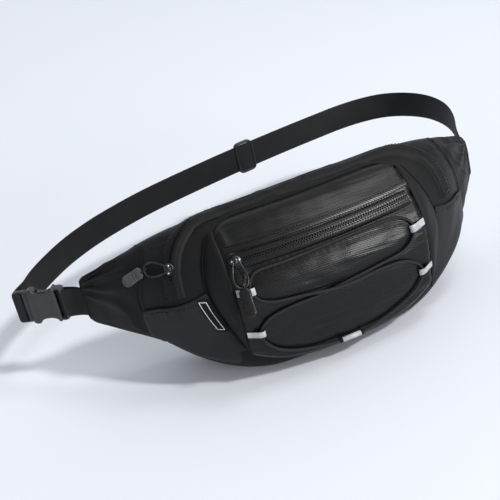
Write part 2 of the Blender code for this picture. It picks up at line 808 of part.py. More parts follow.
def main():
    clear_scene()
    nylon = material("nylon", (0.018, 0.018, 0.020), 0.75)
    satin = material("satin", (0.022, 0.022, 0.025), 0.5)
    twill = material("twill", (0.020, 0.020, 0.022), 0.45)
    mesh = material("spacer_mesh", (0.02, 0.02, 0.02), 0.9)
    webbing = material("webbing", (0.016, 0.016, 0.018), 0.8)
    plastic = material("plastic", (0.035, 0.036, 0.04), 0.45)
    coil = material("coil", (0.012, 0.012, 0.013), 0.4)
    metal = material("gunmetal", (0.20, 0.20, 0.21), 0.3, 1.0)
    rubber = material("rubber", (0.09, 0.09, 0.095), 0.6)
    elastic = material("elastic", (0.012, 0.012, 0.013), 0.7)
    reflective = material("reflective", (0.55, 0.55, 0.56), 0.45)
    label = material("label", (0.015, 0.015, 0.016), 0.7)

    make_shell(nylon)
    make_back_panel(mesh)
    make_wing("wing_left", -1, nylon)
    make_wing("wing_right", 1, nylon)
    make_side_panel("side_panel_left", -1, satin)
    make_side_panel("side_panel_right", 1, satin)
    make_front_pocket(twill)
    make_gusset("pocket_gusset_left", -1, nylon)
    make_gusset("pocket_gusset_right", 1, nylon)
    make_front_zip(webbing, coil, twill)
    make_main_zip(webbing, coil)
    make_front_pull(metal, metal, rubber)
    make_main_pull(metal, metal, rubber)
    make_cord(elastic)
    make_side_loop("loop_upper_left", -1, 0.607, 76 * MM, reflective)
    make_side_loop("loop_lower_left", -1, 0.347, 76.5 * MM, reflective)
    make_side_loop("loop_upper_right", 1, 0.613, 76 * MM, reflective)
    make_side_loop("loop_lower_right", 1, 0.340, 77 * MM, reflective)
    make_bottom_loop(reflective)
    make_label(label)
    make_belt(webbing)
    make_belt_end(webbing)
    make_left_webbing(webbing)
    make_socket(plastic)
    make_plug(plastic)
    make_prong("buckle_prong_upper", 1, plastic)
    make_prong("buckle_prong_lower", -1, plastic)
    make_adjuster(plastic)

    for obj in bpy.data.objects:
        obj.location += BACK_TO_ORIGIN


main()
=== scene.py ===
"""Looks of a waist bag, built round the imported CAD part: fabric shell, laced pocket, zips, belt and buckle.

Shapes are worked out from the bag's back plane at y = 0 and moved by ORIGIN, as in the part.
"""

from math import acos, asin, copysign, cos, exp, pi, radians, sin, sqrt

import bmesh
import bpy
from mathutils import Matrix, Vector, kdtree, noise


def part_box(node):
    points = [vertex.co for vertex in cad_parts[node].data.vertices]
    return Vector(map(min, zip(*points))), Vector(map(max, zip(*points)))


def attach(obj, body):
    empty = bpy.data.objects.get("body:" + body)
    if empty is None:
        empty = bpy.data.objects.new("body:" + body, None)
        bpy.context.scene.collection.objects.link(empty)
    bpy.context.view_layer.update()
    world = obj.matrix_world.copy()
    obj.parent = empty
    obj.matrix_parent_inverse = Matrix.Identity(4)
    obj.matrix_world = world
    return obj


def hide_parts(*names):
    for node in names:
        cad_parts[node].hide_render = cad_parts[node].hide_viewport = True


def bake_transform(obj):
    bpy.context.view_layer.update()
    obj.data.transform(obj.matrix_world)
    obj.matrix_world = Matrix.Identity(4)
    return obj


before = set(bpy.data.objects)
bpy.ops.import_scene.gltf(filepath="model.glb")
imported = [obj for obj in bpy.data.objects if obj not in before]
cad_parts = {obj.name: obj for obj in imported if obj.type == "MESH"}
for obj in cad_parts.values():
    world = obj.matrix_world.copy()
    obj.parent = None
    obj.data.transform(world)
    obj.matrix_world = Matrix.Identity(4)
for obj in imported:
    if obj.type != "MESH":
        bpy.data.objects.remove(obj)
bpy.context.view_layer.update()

MM = 0.001
UP = Vector((0, 0, 1))
ORIGIN = Vector((0, 25 * MM, 0))

# The bag's driving sizes, as in the part
BAG_HALF = 150 * MM
BAG_HEIGHT = 150 * MM
BAG_DEPTH = 72 * MM
DEPTH_FADE = 172 * MM
WAIST_CURVE = 0.95
BELLY = 0.3
BASE_FLAT = 0.02
FLAT_BASE_HALF = 55 * MM
BASE_RISE = 4.9
TOP_FLAT_HALF = 82 * MM
TOP_DROP = 14 * MM
CREST = 0.5
BACK_FALL_MIDDLE = 6.5 * MM
BACK_FALL_SIDE = 15 * MM
BACK_FALL_TIP = 2 * MM
BACK_FALL_REACH = 115 * MM
BACK_THICK = 7 * MM
WING_TIP_X = 203 * MM
WING_TIP_DEPTH = 6 * MM
WING_TIP_TOP = 108 * MM
WING_TIP_BOTTOM = 63 * MM
PANEL_HALF = 88 * MM
GUSSET_WIDTH = 25 * MM
LEFT_GUSSET = (21 * MM, 1.3)
RIGHT_GUSSET = (26 * MM, 0.85)
POCKET_TOP = 0.965
POCKET_LOW = 0.088
POCKET_EDGE = 2.0 * MM
POCKET_RISE = 16 * MM
GUSSET_LOW = 0.195
GUSSET_HIGH = 0.935
FRONT_ZIP_B = 0.766
FRONT_ZIP_HALF = 84 * MM
FRONT_ZIP_RADIUS = 0.5
PULL_PIVOT = 3.4 * MM
PULL_LENGTH = 24 * MM
MAIN_TAB_DROOP = 30
CORD_RADIUS = 1.3 * MM
CORD_LIFT = 1.8 * MM
WEB_HALF = 14.7 * MM
BELT_Z = 82 * MM
BELT_ARC_CENTRE = (277 * MM, -1134 * MM)
BELT_ARC_RADIUS = 1.4
BUCKLE_CENTRE = Vector((-233.5 * MM, 62.5 * MM, BELT_Z))
BUCKLE_AXIS = Vector((-0.853, 0.523, 0)).normalized()
BUCKLE_FRONT = Vector((-0.523, -0.853, 0)).normalized()

# The photograph's view, fitted to the bag's outline: azimuth, elevation and roll in degrees
CAMERA_ANGLES = (15.28, 25.9, 13.91)
CAMERA_PLACE = (-0.2891, -0.8543, 0.5342)
CAMERA_LENS = 79.2

# Folds of a wing: middle and width as shares of the way round it, height in millimetres
WING_FOLDS = (
    (0.50, 0.040, 1.6), (0.62, 0.030, 2.2), (0.73, 0.028, 2.4), (0.83, 0.022, 1.8), (0.91, 0.016, 1.0),
)


# Materials: every pattern is in millimetres of the piece's own UV map, so it has the real scale.


class Finish:
    """A Principled material, with short calls for the nodes that feed it."""

    def __init__(self, name, **settings):
        self.made = bpy.data.materials.new(name)
        self.made.use_nodes = True
        self.nodes = self.made.node_tree.nodes
        self.links = self.made.node_tree.links
        self.shader = self.nodes["Principled BSDF"]
        for key, value in settings.items():
            self.shader.inputs[key.replace("_", " ")].default_value = value

    def node(self, kind, **inputs):
        made = self.nodes.new(kind)
        for key, value in inputs.items():
            self.put(made.inputs[key], value)
        return made

    def put(self, socket, value):
        if isinstance(value, bpy.types.NodeSocket):
            self.links.new(value, socket)
        else:
            socket.default_value = value

    def maths(self, operation, *values):
        made = self.nodes.new("ShaderNodeMath")
        made.operation = operation
        for socket, value in zip(made.inputs, values):
            self.put(socket, value)
        return made.outputs[0]

    def uv(self):
        if not hasattr(self, "split"):
            source = self.nodes.new("ShaderNodeUVMap")
            source.uv_map = "mm"
            self.split = self.node("ShaderNodeSeparateXYZ", Vector=source.outputs[0])
        return self.split.outputs[0], self.split.outputs[1]

    def wave(self, across, along):
        """A sine over the UV map, with so many waves per millimetre across and along."""
        u, v = self.uv()
        turn = self.maths("MULTIPLY", u, 2 * pi * across)
        turn = self.maths("MULTIPLY_ADD", v, 2 * pi * along, turn)
        return self.maths("SINE", turn)

    def grain(self, scale, detail=3.0):
        """Noise in the object's space, with features of about 1 / scale metres."""
        place = self.nodes.new("ShaderNodeTexCoord").outputs["Object"]
        made = self.node("ShaderNodeTexNoise", Vector=place, Scale=scale, Detail=detail)
        return made.outputs[0]

    def colour(self, factor, dark, light, low=0.3, high=0.7):
        ramp = self.nodes.new("ShaderNodeValToRGB")
        self.links.new(factor, ramp.inputs[0])
        ramp.color_ramp.elements[0].position = low
        ramp.color_ramp.elements[1].position = high
        ramp.color_ramp.elements[0].color = (*dark, 1)
        ramp.color_ramp.elements[1].color = (*light, 1)
        self.links.new(ramp.outputs[0], self.shader.inputs["Base Color"])

    def rough(self, factor, low, high):
        value = self.maths("MULTIPLY_ADD", factor, high - low, low)
        self.links.new(value, self.shader.inputs["Roughness"])

    def bump(self, height, distance, strength=1.0):
        inputs = {"Height": height, "Distance": distance, "Strength": strength}
        if hasattr(self, "last_bump"):
            inputs["Normal"] = self.last_bump
        made = self.node("ShaderNodeBump", **inputs)
        self.last_bump = made.outputs[0]
        self.links.new(self.last_bump, self.shader.inputs["Normal"])


def scaled(colour, share):
    return tuple(value * share for value in colour)


def plain_weave(name, colour, pitch, relief, rough=(0.6, 0.8), sheen=0.02, specular=0.2):
    """Crossing threads, each so many millimetres wide, over a cloudy base colour."""
    made = Finish(name, Sheen_Weight=sheen, Sheen_Roughness=0.5, Specular_IOR_Level=specular)
    threads = made.maths("MULTIPLY", made.wave(0.5 / pitch, 0), made.wave(0, 0.5 / pitch))
    clouds = made.grain(38)
    fuzz = made.grain(1400, 2.0)
    blend = made.maths("MULTIPLY_ADD", threads, 0.22, clouds)
    blend = made.maths("MULTIPLY_ADD", made.maths("SUBTRACT", fuzz, 0.5), 0.5, blend)
    made.colour(blend, scaled(colour, 0.72), scaled(colour, 1.3))
    made.rough(clouds, *rough)
    made.bump(threads, relief)
    made.bump(made.grain(420, 4.0), 0.10 * MM, 0.5)
    return made.made


def ribbed_twill(name, colour, pitch, relief, rough, specular):
    """Diagonal ribs with a finer cross thread, and broad shifts in gloss as in a coated cloth."""
    made = Finish(name, Specular_IOR_Level=specular)
    ribs = made.wave(0.56 / pitch, 0.83 / pitch)
    cross = made.wave(1.5 / pitch, -0.9 / pitch)
    height = made.maths("MULTIPLY_ADD", cross, 0.35, ribs)
    clouds = made.grain(30)
    blend = made.maths("MULTIPLY_ADD", height, 0.4, clouds)
    made.colour(blend, scaled(colour, 0.6), scaled(colour, 1.4))
    made.rough(made.maths("MULTIPLY_ADD", height, 0.3, clouds), *rough)
    made.bump(height, relief)
    made.bump(made.grain(500, 4.0), 0.03 * MM, 0.5)
    return made.made


def webbing_weave(name, colour):
    """Narrow warp ribs along the band, broken by the weft into a herringbone."""
    made = Finish(name, Sheen_Weight=0.02, Sheen_Roughness=0.5, Specular_IOR_Level=0.2)
    u, v = made.uv()
    lane = made.maths("PINGPONG", v, 2.45)
    turn = made.maths("MULTIPLY_ADD", lane, 2 * pi * 0.55, made.maths("MULTIPLY", u, 2 * pi * 0.8))
    chevron = made.maths("SINE", turn)
    warp = made.wave(0, 1.25)
    height = made.maths("MULTIPLY_ADD", warp, 0.4, chevron)
    clouds = made.grain(45)
    blend = made.maths("MULTIPLY_ADD", height, 0.10, clouds)
    made.colour(blend, scaled(colour, 0.75), scaled(colour, 1.3))
    made.rough(clouds, 0.62, 0.82)
    made.bump(height, 0.045 * MM)
    made.bump(made.grain(900, 3.0), 0.06 * MM, 0.5)
    return made.made


def knit_mesh(name, colour):
    """Open spacer knit: rows of small holes, with painted shade inside them."""
    made = Finish(name, Sheen_Weight=0.03, Sheen_Roughness=0.5, Specular_IOR_Level=0.2)
    u, v = made.uv()
    row = made.maths("FLOORED_MODULO", made.maths("FLOOR", made.maths("DIVIDE", v, 1.7)), 2.0)
    shift = made.maths("MULTIPLY_ADD", row, 0.95, u)
    across = made.maths("SINE", made.maths("MULTIPLY", shift, 2 * pi / 1.9))
    upward = made.maths("ABSOLUTE", made.maths("SINE", made.maths("MULTIPLY", v, pi / 1.7)))
    hole = made.maths("MULTIPLY", made.maths("MULTIPLY_ADD", across, 0.5, 0.5), upward)
    # Painted shade: the colour inside the holes drops to a quarter of the knit's, and the rims are lighter.
    made.colour(hole, scaled(colour, 1.3), scaled(colour, 0.25), 0.35, 0.7)
    made.rough(hole, 0.75, 0.95)
    made.bump(made.maths("SUBTRACT", 1.0, hole), 0.45 * MM)
    return made.made


def braided(name, colour):
    """A braided sheath: two sets of strands winding round the cord in opposite ways."""
    made = Finish(name, Specular_IOR_Level=0.4)
    height = made.maths("MULTIPLY", made.wave(0.45, 0.61), made.wave(0.45, -0.61))
    strand = made.maths("MULTIPLY_ADD", height, 0.5, 0.5)
    made.colour(strand, scaled(colour, 0.5), scaled(colour, 1.5), 0.1, 0.9)
    made.rough(made.grain(300), 0.5, 0.7)
    made.bump(height, 0.16 * MM)
    return made.made


def moulded(name, colour, rough, specular=0.5, grain_height=0.05):
    """Moulded plastic or rubber: fine spark texture, faint flow marks and scuffed edges."""
    made = Finish(name, Specular_IOR_Level=specular)
    edges = made.nodes.new("ShaderNodeNewGeometry").outputs["Pointiness"]
    scuff = made.maths("MULTIPLY_ADD", made.maths("SUBTRACT", edges, 0.5), 5.0, made.grain(90))
    made.colour(scuff, scaled(colour, 0.85), scaled(colour, 1.7), 0.35, 0.95)
    made.rough(made.grain(160, 4.0), *rough)
    made.bump(made.grain(2600, 2.0), grain_height * MM, 0.6)
    made.bump(made.grain(60, 2.0), 0.12 * MM, 0.25)
    return made.made


def plated(name, colour):
    """Dark plated wire and castings, brighter where they rub."""
    made = Finish(name, Metallic=1.0)
    edges = made.nodes.new("ShaderNodeNewGeometry").outputs["Pointiness"]
    rub = made.maths("MULTIPLY_ADD", made.maths("SUBTRACT", edges, 0.5), 6.0, made.grain(220))
    made.colour(rub, scaled(colour, 0.7), scaled(colour, 2.2), 0.35, 0.9)
    made.rough(made.grain(500, 3.0), 0.2, 0.4)
    made.bump(made.grain(1500, 3.0), 0.03 * MM, 0.4)
    return made.made


def reflective_tape(name):
    """Grey glass-bead tape: fine beads in a faint diagonal grid, with wear."""
    made = Finish(name, Specular_IOR_Level=0.4)
    grid = made.maths("MAXIMUM", made.wave(0.35, 0.35), made.wave(0.35, -0.35))
    blend = made.maths("MULTIPLY_ADD", grid, -0.12, made.grain(160))
    made.colour(blend, (0.30, 0.30, 0.32), (0.49, 0.49, 0.52))
    made.rough(made.grain(420), 0.3, 0.5)
    made.bump(made.grain(3200, 1.0), 0.03 * MM, 0.5)
    return made.made


def floor_paint(name):
    """A pale matt sweep with very faint clouds."""
    made = Finish(name, Specular_IOR_Level=0.05)
    made.colour(made.grain(0.7, 1.0), (0.790, 0.822, 0.890), (0.812, 0.843, 0.908))
    made.rough(made.grain(40), 0.75, 0.9)
    return made.made


LOOKS = {
    "nylon": plain_weave("nylon", (0.0062, 0.0064, 0.0069), 0.7, 0.04 * MM, (0.46, 0.62), 0.01, 0.16),
    "satin": plain_weave("satin", (0.0092, 0.0095, 0.0102), 0.5, 0.025 * MM, (0.44, 0.58), 0.01, 0.24),
    "twill": ribbed_twill("twill", (0.0033, 0.0034, 0.0036), 1.5, 0.018 * MM, (0.21, 0.34), 0.26),
    "spacer_mesh": knit_mesh("spacer_mesh", (0.014, 0.014, 0.0148)),
    "webbing": webbing_weave("webbing", (0.0105, 0.0107, 0.0113)),
    "tape": ribbed_twill("zip_tape", (0.005, 0.005, 0.0053), 1.0, 0.15 * MM, (0.6, 0.75), 0.2),
    "plastic": moulded("plastic", (0.024, 0.0248, 0.0268), (0.34, 0.48), 0.42),
    # Darker plastic for the slide, also put on the prongs as painted shade inside the socket.
    "dark_plastic": moulded("dark_plastic", (0.010, 0.010, 0.0108), (0.34, 0.48), 0.35),
    "coil": moulded("coil", (0.005, 0.005, 0.0053), (0.32, 0.44), 0.35, 0.02),
    "gunmetal": plated("gunmetal", (0.032, 0.032, 0.034)),
    "bright_metal": plated("bright_metal", (0.42, 0.42, 0.44)),
    "rubber": moulded("rubber", (0.051, 0.051, 0.054), (0.5, 0.66), 0.35),
    "dark_rubber": moulded("dark_rubber", (0.006, 0.006, 0.0063), (0.22, 0.34), 0.25),
    "elastic": braided("elastic", (0.0058, 0.0058, 0.0062)),
    "reflective": reflective_tape("reflective"),
    "label": plain_weave("label", (0.006, 0.006, 0.0063), 0.35, 0.05 * MM, (0.6, 0.75), 0.0, 0.15),
    "thread": plain_weave("thread", (0.0035, 0.0035, 0.0037), 0.3, 0.05 * MM, (0.5, 0.65), 0.0, 0.15),
    "white_thread": plain_weave("white_thread", (0.72, 0.72, 0.74), 0.3, 0.05 * MM),
    "floor": floor_paint("floor"),
}


# Building meshes


class Shape:
    """Points, faces and each face corner's UV in millimetres, gathered for one object."""

    def __init__(self):
        self.points, self.faces, self.uvs, self.slots = [], [], [], []

    def face(self, corners, uvs=None, slot=0):
        self.faces.append(tuple(corners))
        self.uvs.append(uvs or [(0.0, 0.0)] * len(corners))
        self.slots.append(slot)

    def add_sweep(self, rings, closed=False, slot=0):
        """Rings of equally many points, joined by quads. U runs from ring to ring, V round the ring."""
        start, count, total = len(self.points), len(rings[0]), len(rings)
        self.points += [point for ring in rings for point in ring]
        u = [0.0]
        for i in range(total):
            following = rings[(i + 1) % total]
            steps = [(following[j] - rings[i][j]).length for j in range(count)]
            u.append(u[-1] + sum(steps) / count / MM)
        middle = rings[total // 2]
        v = [0.0]
        for j in range(count):
            v.append(v[-1] + (middle[(j + 1) % count] - middle[j]).length / MM)
        for i in range(total if closed else total - 1):
            near, far = start + i * count, start + (i + 1) % total * count
            for j in range(count):
                k = (j + 1) % count
                spot = [(u[i], v[j]), (u[i], v[j + 1]), (u[i + 1], v[j + 1]), (u[i + 1], v[j])]
                self.face((near + j, near + k, far + k, far + j), spot, slot)
        if not closed:
            self.face(range(start, start + count), None, slot)
            self.face(range(start + (total - 1) * count, start + total * count), None, slot)
        return self

    def add_block(self, centre, axes, half, taper):
        """A small eight-cornered block, tapered towards its top."""
        start = len(self.points)
        for k in (-1, 1):
            scale = taper if k > 0 else 1.0
            for i, j in ((-1, -1), (1, -1), (1, 1), (-1, 1)):
                flat = axes[0] * (i * half[0] * scale) + axes[1] * (j * half[1] * scale)
                self.points.append(centre + flat + axes[2] * (k * half[2]))
        quads = ((3, 2, 1, 0), (4, 5, 6, 7), (0, 1, 5, 4), (1, 2, 6, 5), (2, 3, 7, 6), (3, 0, 4, 7))
        for quad in quads:
            self.face([start + n for n in quad])

    def build(self, name, looks, replaces=(), body="bag", smooth_angle=40):
        """The finished object, with its faces turned outwards, riding on a body."""
        mesh = bpy.data.meshes.new(name)
        mesh.from_pydata([tuple(point + ORIGIN) for point in self.points], [], self.faces)
        layer = mesh.uv_layers.new(name="mm")
        flat = [value for corners in self.uvs for spot in corners for value in spot]
        layer.data.foreach_set("uv", flat)
        mesh.polygons.foreach_set("material_index", self.slots)
        work = bmesh.new()
        work.from_mesh(mesh)
        bmesh.ops.recalc_face_normals(work, faces=work.faces)
        work.to_mesh(mesh)
        work.free()
        mesh.shade_smooth()
        mesh.set_sharp_from_angle(angle=radians(smooth_angle))
        looks = [looks] if isinstance(looks, str) else looks
        for look in looks:
            mesh.materials.append(LOOKS[look])
        obj = bpy.data.objects.new(name, mesh)
        bpy.context.scene.collection.objects.link(obj)
        if body:
            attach(obj, body)
        if replaces:
            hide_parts(*replaces)
        return obj


def steps(count, start=0.0, end=1.0):
    """Evenly spaced numbers from start to end, with both ends."""
    return [start + (end - start) * i / count for i in range(count + 1)]


def travelled(points):
    """The distance along a path up to each of its points, in millimetres."""
    total = [0.0]
    for before, after in zip(points, points[1:]):
        total.append(total[-1] + (after - before).length / MM)
    return total


def slab_shape(low, high, columns, rows, shape=None):
    """A solid between two surfaces, low(u, v) and high(u, v), over the unit square."""
    shape = shape or Shape()
    start = len(shape.points)
    width = rows + 1
    us, vs = steps(columns), steps(rows)
    front = [[high(u, v) for v in vs] for u in us]
    back = [[low(u, v) for v in vs] for u in us]
    shape.points += [point for line in front + back for point in line]
    u = travelled([line[rows // 2] for line in front])
    v = travelled(front[columns // 2])
    depth = (columns + 1) * width
    for i in range(columns):
        for j in range(rows):
            a = start + i * width + j
            corners = (a, a + width, a + width + 1, a + 1)
            spot = [(u[i], v[j]), (u[i + 1], v[j]), (u[i + 1], v[j + 1]), (u[i], v[j + 1])]
            shape.face(corners, spot)
            shape.face([corner + depth for corner in reversed(corners)], spot[::-1])

    def wall(i, j, across, up):
        a, b = start + i * width + j, start + (i + up) * width + j + across
        u1, v1 = u[i + up], v[j + across]
        spot = [(u[i], v[j]), (u1, v1), (u1 + across, v1 + up), (u[i] + across, v[j] + up)]
        shape.face((a, b, b + depth, a + depth), spot)

    for j in range(rows):
        wall(0, j, 1, 0)
        wall(columns, j, 1, 0)
    for i in range(columns):
        wall(i, 0, 0, 1)
        wall(i, rows, 0, 1)
    return shape


def smooth_path(points, count, closed=False):
    """A Catmull-Rom curve through tuples of numbers, with so many steps between neighbours."""

    def between(a, b, c, d, t):
        cubic = (3 * b - a - 3 * c + d) * t**3 + (2 * a - 5 * b + 4 * c - d) * t**2
        return 0.5 * (2 * b + (c - a) * t + cubic)

    last = len(points) - 1
    path = []
    for i in range(last + closed):
        four = [points[(i + k) % (last + 1) if closed else min(max(i + k, 0), last)] for k in (-1, 0, 1, 2)]
        for j in range(count):
            path.append(tuple(between(*values, j / count) for values in zip(*four)))
    if not closed:
        path.append(tuple(points[-1]))
    return path


def directions(points, closed=False):
    """The direction of travel at each point of a path."""
    count = len(points)
    found = []
    for i in range(count):
        ahead = points[(i + 1) % count] if closed else points[min(i + 1, count - 1)]
        behind = points[i - 1] if closed else points[max(i - 1, 0)]
        found.append((ahead - behind).normalized())
    return found


def along_path(points, normals, closed=False):
    """Frames (point, side, out) that follow points, with out kept near the normals."""
    frames = []
    for point, along, normal in zip(points, directions(points, closed), normals):
        side = along.cross(normal).normalized()
        frames.append((point, side, side.cross(along).normalized()))
    return frames


def upright_frames(points):
    """Frames of a band that stands on its edge: side is up, out is away from the loop's inside."""
    return [(point, UP, UP.cross(along).normalized()) for point, along in zip(points, directions(points))]


def even_frames(frames, pitch):
    """Frames at equal distances of about pitch, as (point, side, out, along)."""
    lengths = [0.0]
    for i in range(len(frames) - 1):
        lengths.append(lengths[-1] + (frames[i + 1][0] - frames[i][0]).length)
    count = max(1, round(lengths[-1] / pitch))
    found, i = [], 0
    for n in range(count):
        goal = (n + 0.5) * lengths[-1] / count
        while lengths[i + 1] < goal:
            i += 1
        share = (goal - lengths[i]) / (lengths[i + 1] - lengths[i])
        point, side, out = [a.lerp(b, share) for a, b in zip(frames[i], frames[i + 1])]
        along = (frames[i + 1][0] - frames[i][0]).normalized()
        found.append((point, side.normalized(), out.normalized(), along))
    return found


def swept(frames, profile):
    """Rings of a profile of (side, out) offsets in millimetres."""
    return [[point + (side * s + out * o) * MM for s, o in profile] for point, side, out in frames]


def oval(half_width, half_thick, count=12, lift=0.0, power=1.0):
    """A round, oval or squarish profile: a power under 1 squares its corners."""
    profile = []
    for j in range(count):
        c, s = cos(2 * pi * j / count), sin(2 * pi * j / count)
        wide = half_width * copysign(abs(c) ** power, c)
        profile.append((wide, lift + half_thick * copysign(abs(s) ** power, s)))
    return profile


def make_strip(name, frames, profile, look, replaces=(), closed=False, body="bag"):
    """One profile swept along frames, as a piece of its own."""
    return Shape().add_sweep(swept(frames, profile), closed).build(name, look, replaces, body)


def make_cord(name, points, radius, look, replaces=(), body="bag", closed=False, sides=12):
    """A round cord. Where it runs upright, its frames turn by the front instead of by the top."""
    normals = [Vector((0, -1, 0)) if abs(along.z) > 0.9 else UP for along in directions(points, closed)]
    frames = along_path(points, normals, closed)
    make_strip(name, frames, oval(radius / MM, radius / MM, sides), look, replaces, closed, body)


def stitch_shape(frames, shape=None):
    """A row of lock stitches: each a short raised lozenge that dips into the cloth at its ends."""
    pitch, length, width, lift = 3.0 * MM, 2.2 * MM, 0.5 * MM, 0.1 * MM
    shape = shape or Shape()
    for point, side, out, along in even_frames(frames, pitch):
        rings = []
        for share, size in ((-0.5, 0.35), (-0.25, 1.0), (0.25, 1.0), (0.5, 0.35)):
            centre = point + along * (share * length) + out * (lift - (1 - size) * 0.45 * width)
            circle = oval(width / 2 * size, width / 2 * size, 6)
            rings.append([centre + side * s + out * o for s, o in circle])
        shape.add_sweep(rings)
    return shape


def frame_matrix(origin, along, out):
    third = out.normalized()
    first = (along - third * along.dot(third)).normalized()
    return Matrix.Translation(origin) @ Matrix((first, third.cross(first), third)).transposed().to_4x4()


def bell(distance, width):
    return exp(-((distance / width) ** 2))


def ease(value):
    value = min(max(value, 0.0), 1.0)
    return value * value * (3 - 2 * value)


# The bag's skin, as in the part


def back_y(x):
    return WAIST_CURVE * x * x


def wing_blend(x, start, end):
    return start + (end - start) * (abs(x) - BAG_HALF) / (WING_TIP_X - BAG_HALF)


def bottom_z(x):
    if abs(x) > BAG_HALF:
        return wing_blend(x, bottom_z(BAG_HALF), WING_TIP_BOTTOM)
    return BASE_RISE * max(0.0, abs(x) - FLAT_BASE_HALF) ** 2


def top_z(x):
    if abs(x) > BAG_HALF:
        return wing_blend(x, top_z(BAG_HALF), WING_TIP_TOP)
    share = max(0.0, abs(x) - TOP_FLAT_HALF) / (BAG_HALF - TOP_FLAT_HALF)
    return BAG_HEIGHT - TOP_DROP * share**2


def depth(x):
    if abs(x) > BAG_HALF:
        return wing_blend(x, depth(BAG_HALF), WING_TIP_DEPTH)
    return BAG_DEPTH * sqrt(1 - (abs(x) / DEPTH_FADE) ** 5)


def section(w):
    """The section's share of depth and of height, from its foot at w = 0 to the back's top at w = 1."""
    if w < 0.5:
        rise = 1 - max(0.0, cos(w * pi)) ** 0.25
        return sin(w * pi) ** 0.4, BELLY * max(0.0, rise * (1 + BASE_FLAT) - BASE_FLAT)
    turn = (1 - w) * pi
    return max(0.0, sin(turn)) ** 0.645, BELLY + (1 - BELLY) * max(0.0, cos(turn)) ** 0.8


def w_at(b):
    """The w at a share b of the height."""
    if b < BELLY:
        return acos((1 - (b / BELLY + BASE_FLAT) / (1 + BASE_FLAT)) ** 4) / pi
    return 1 - acos(((b - BELLY) / (1 - BELLY)) ** 1.25) / pi


def back_fall(x, forward):
    """How far the top falls behind its crest, towards the back."""
    if abs(x) > BAG_HALF:
        full = wing_blend(x, BACK_FALL_SIDE, BACK_FALL_TIP)
    else:
        full = BACK_FALL_MIDDLE + (BACK_FALL_SIDE - BACK_FALL_MIDDLE) * ease(abs(x) / BACK_FALL_REACH)
    return full * max(0.0, 1 - forward / CREST) ** 2


def shell(x, w):
    forward, high = section(w)
    z = bottom_z(x) + high * (top_z(x) - bottom_z(x))
    if w > 0.5:
        z -= back_fall(x, forward)
    return Vector((x, back_y(x) - forward * depth(x), z))


def skin_normal(x, w):
    step = 0.1 * MM
    along = shell(x + step, w) - shell(x - step, w)
    around = shell(x, min(w + 0.001, 0.999)) - shell(x, max(w - 0.001, 0.001))
    return along.cross(around).normalized()


def skin(x, w, lift=0.0):
    return shell(x, w) + skin_normal(x, w) * lift


def front_skin(x, b, lift):
    """The skin at a share b of the height, raised by lift."""
    return skin(x, w_at(b), lift)


def front_normal(x, b):
    return skin_normal(x, w_at(b))


def pocket_low(x):
    return POCKET_LOW + 0.085 * (abs(x) / (82 * MM)) ** 3


def pocket_rise(b):
    share = (POCKET_TOP - b) / (POCKET_TOP - POCKET_LOW)
    if share < 0.45:
        return POCKET_EDGE + POCKET_RISE * sin(max(share, 0.0) / 0.45 * pi / 2)
    return POCKET_EDGE + POCKET_RISE * (1 - 0.55 * ((share - 0.45) / 0.55) ** 2)


def pocket(x, b, lift=0.0):
    return front_skin(x, b, pocket_rise(b) + lift)


def pocket_normal(x, b):
    step = 0.002
    along = pocket(x + step, b) - pocket(x - step, b)
    upward = pocket(x, b + step) - pocket(x, b - step)
    return along.cross(upward).normalized()


def gusset_edge(b, side):
    """Half the width of the front to the gusset's outer seam: the left gusset is fullest higher up."""
    width, skew = LEFT_GUSSET if side < 0 else RIGHT_GUSSET
    share = max(0.0, (b - GUSSET_LOW + 0.02) / (GUSSET_HIGH - GUSSET_LOW + 0.04))
    return PANEL_HALF + width * max(0.0, sin(pi * share**skew)) ** 0.7


def hem_b(x):
    return 0.596 - 0.0042 * (abs(x) / MM - 110)


def front_zip_frame(x):
    """Point and normal on the front zip's arc."""
    middle = pocket(0, FRONT_ZIP_B)
    centre = Vector((0, middle.y + FRONT_ZIP_RADIUS, middle.z))
    rotate = Matrix.Rotation(asin(x / FRONT_ZIP_RADIUS), 3, "Z")
    return centre + rotate @ (middle - centre), rotate @ pocket_normal(0, FRONT_ZIP_B)


def main_zip_path():
    """The main zip's middle line, as (x, w)."""
    low = ((0.1352, 0.565), (0.1345, 0.66), (0.1325, 0.77), (0.1275, 0.87), (0.1170, 0.945), (0.1000, 0.984))
    half = [(x, w_at(b)) for x, b in low] + [(0.0760, 0.958), (0.0400, 0.968)]
    whole = [(-x, w) for x, w in half] + [(0.0, 0.970)] + half[::-1]
    return smooth_path(whole, 4)


# The cord's route through the five loops: x in mm, share of the height, lift in mm.
CORD_ROUTE = [
    (-66, 0.699, 0), (-43, 0.703, 0), (-18, 0.709, 0), (7, 0.713, 0), (30, 0.713, 0), (52, 0.710, 0),
    (66, 0.695, 0), (74, 0.655, 0), (76, 0.612, 0), (72, 0.560, 0), (62, 0.525, 0), (45, 0.513, 0),
    (22, 0.502, 0), (0, 0.489, 0), (-22, 0.474, 0), (-48, 0.465, 0), (-65, 0.440, 0), (-74, 0.392, 0),
    (-76.5, 0.345, 0), (-75, 0.290, 0), (-67, 0.222, 0), (-54, 0.176, 0), (-36, 0.143, 0),
    (-16, 0.128, 1.2), (0, 0.125, 1.6), (16, 0.128, 1.2), (30, 0.143, 0), (49, 0.180, 0),
    (66, 0.232, 0), (75, 0.292, 0), (77, 0.340, 0), (74, 0.392, 0), (65, 0.446, 0), (54, 0.473, 0),
    (35, 0.484, 0.6), (12, 0.482, 3.0), (-3, 0.486, 3.4), (-18, 0.496, 3.0), (-38, 0.508, 0.6),
    (-58, 0.521, 0), (-70, 0.548, 0), (-76, 0.605, 0), (-74, 0.660, 0),
]


def cord_points(count):
    route = smooth_path(CORD_ROUTE, count, closed=True)
    return [pocket(x * MM, b, CORD_LIFT + lift * MM) for x, b, lift in route]


# How the cloth swells, sags and creases, as a height over the skin


def bumps(x, y, z):
    return noise.noise(Vector((x, y, z)))


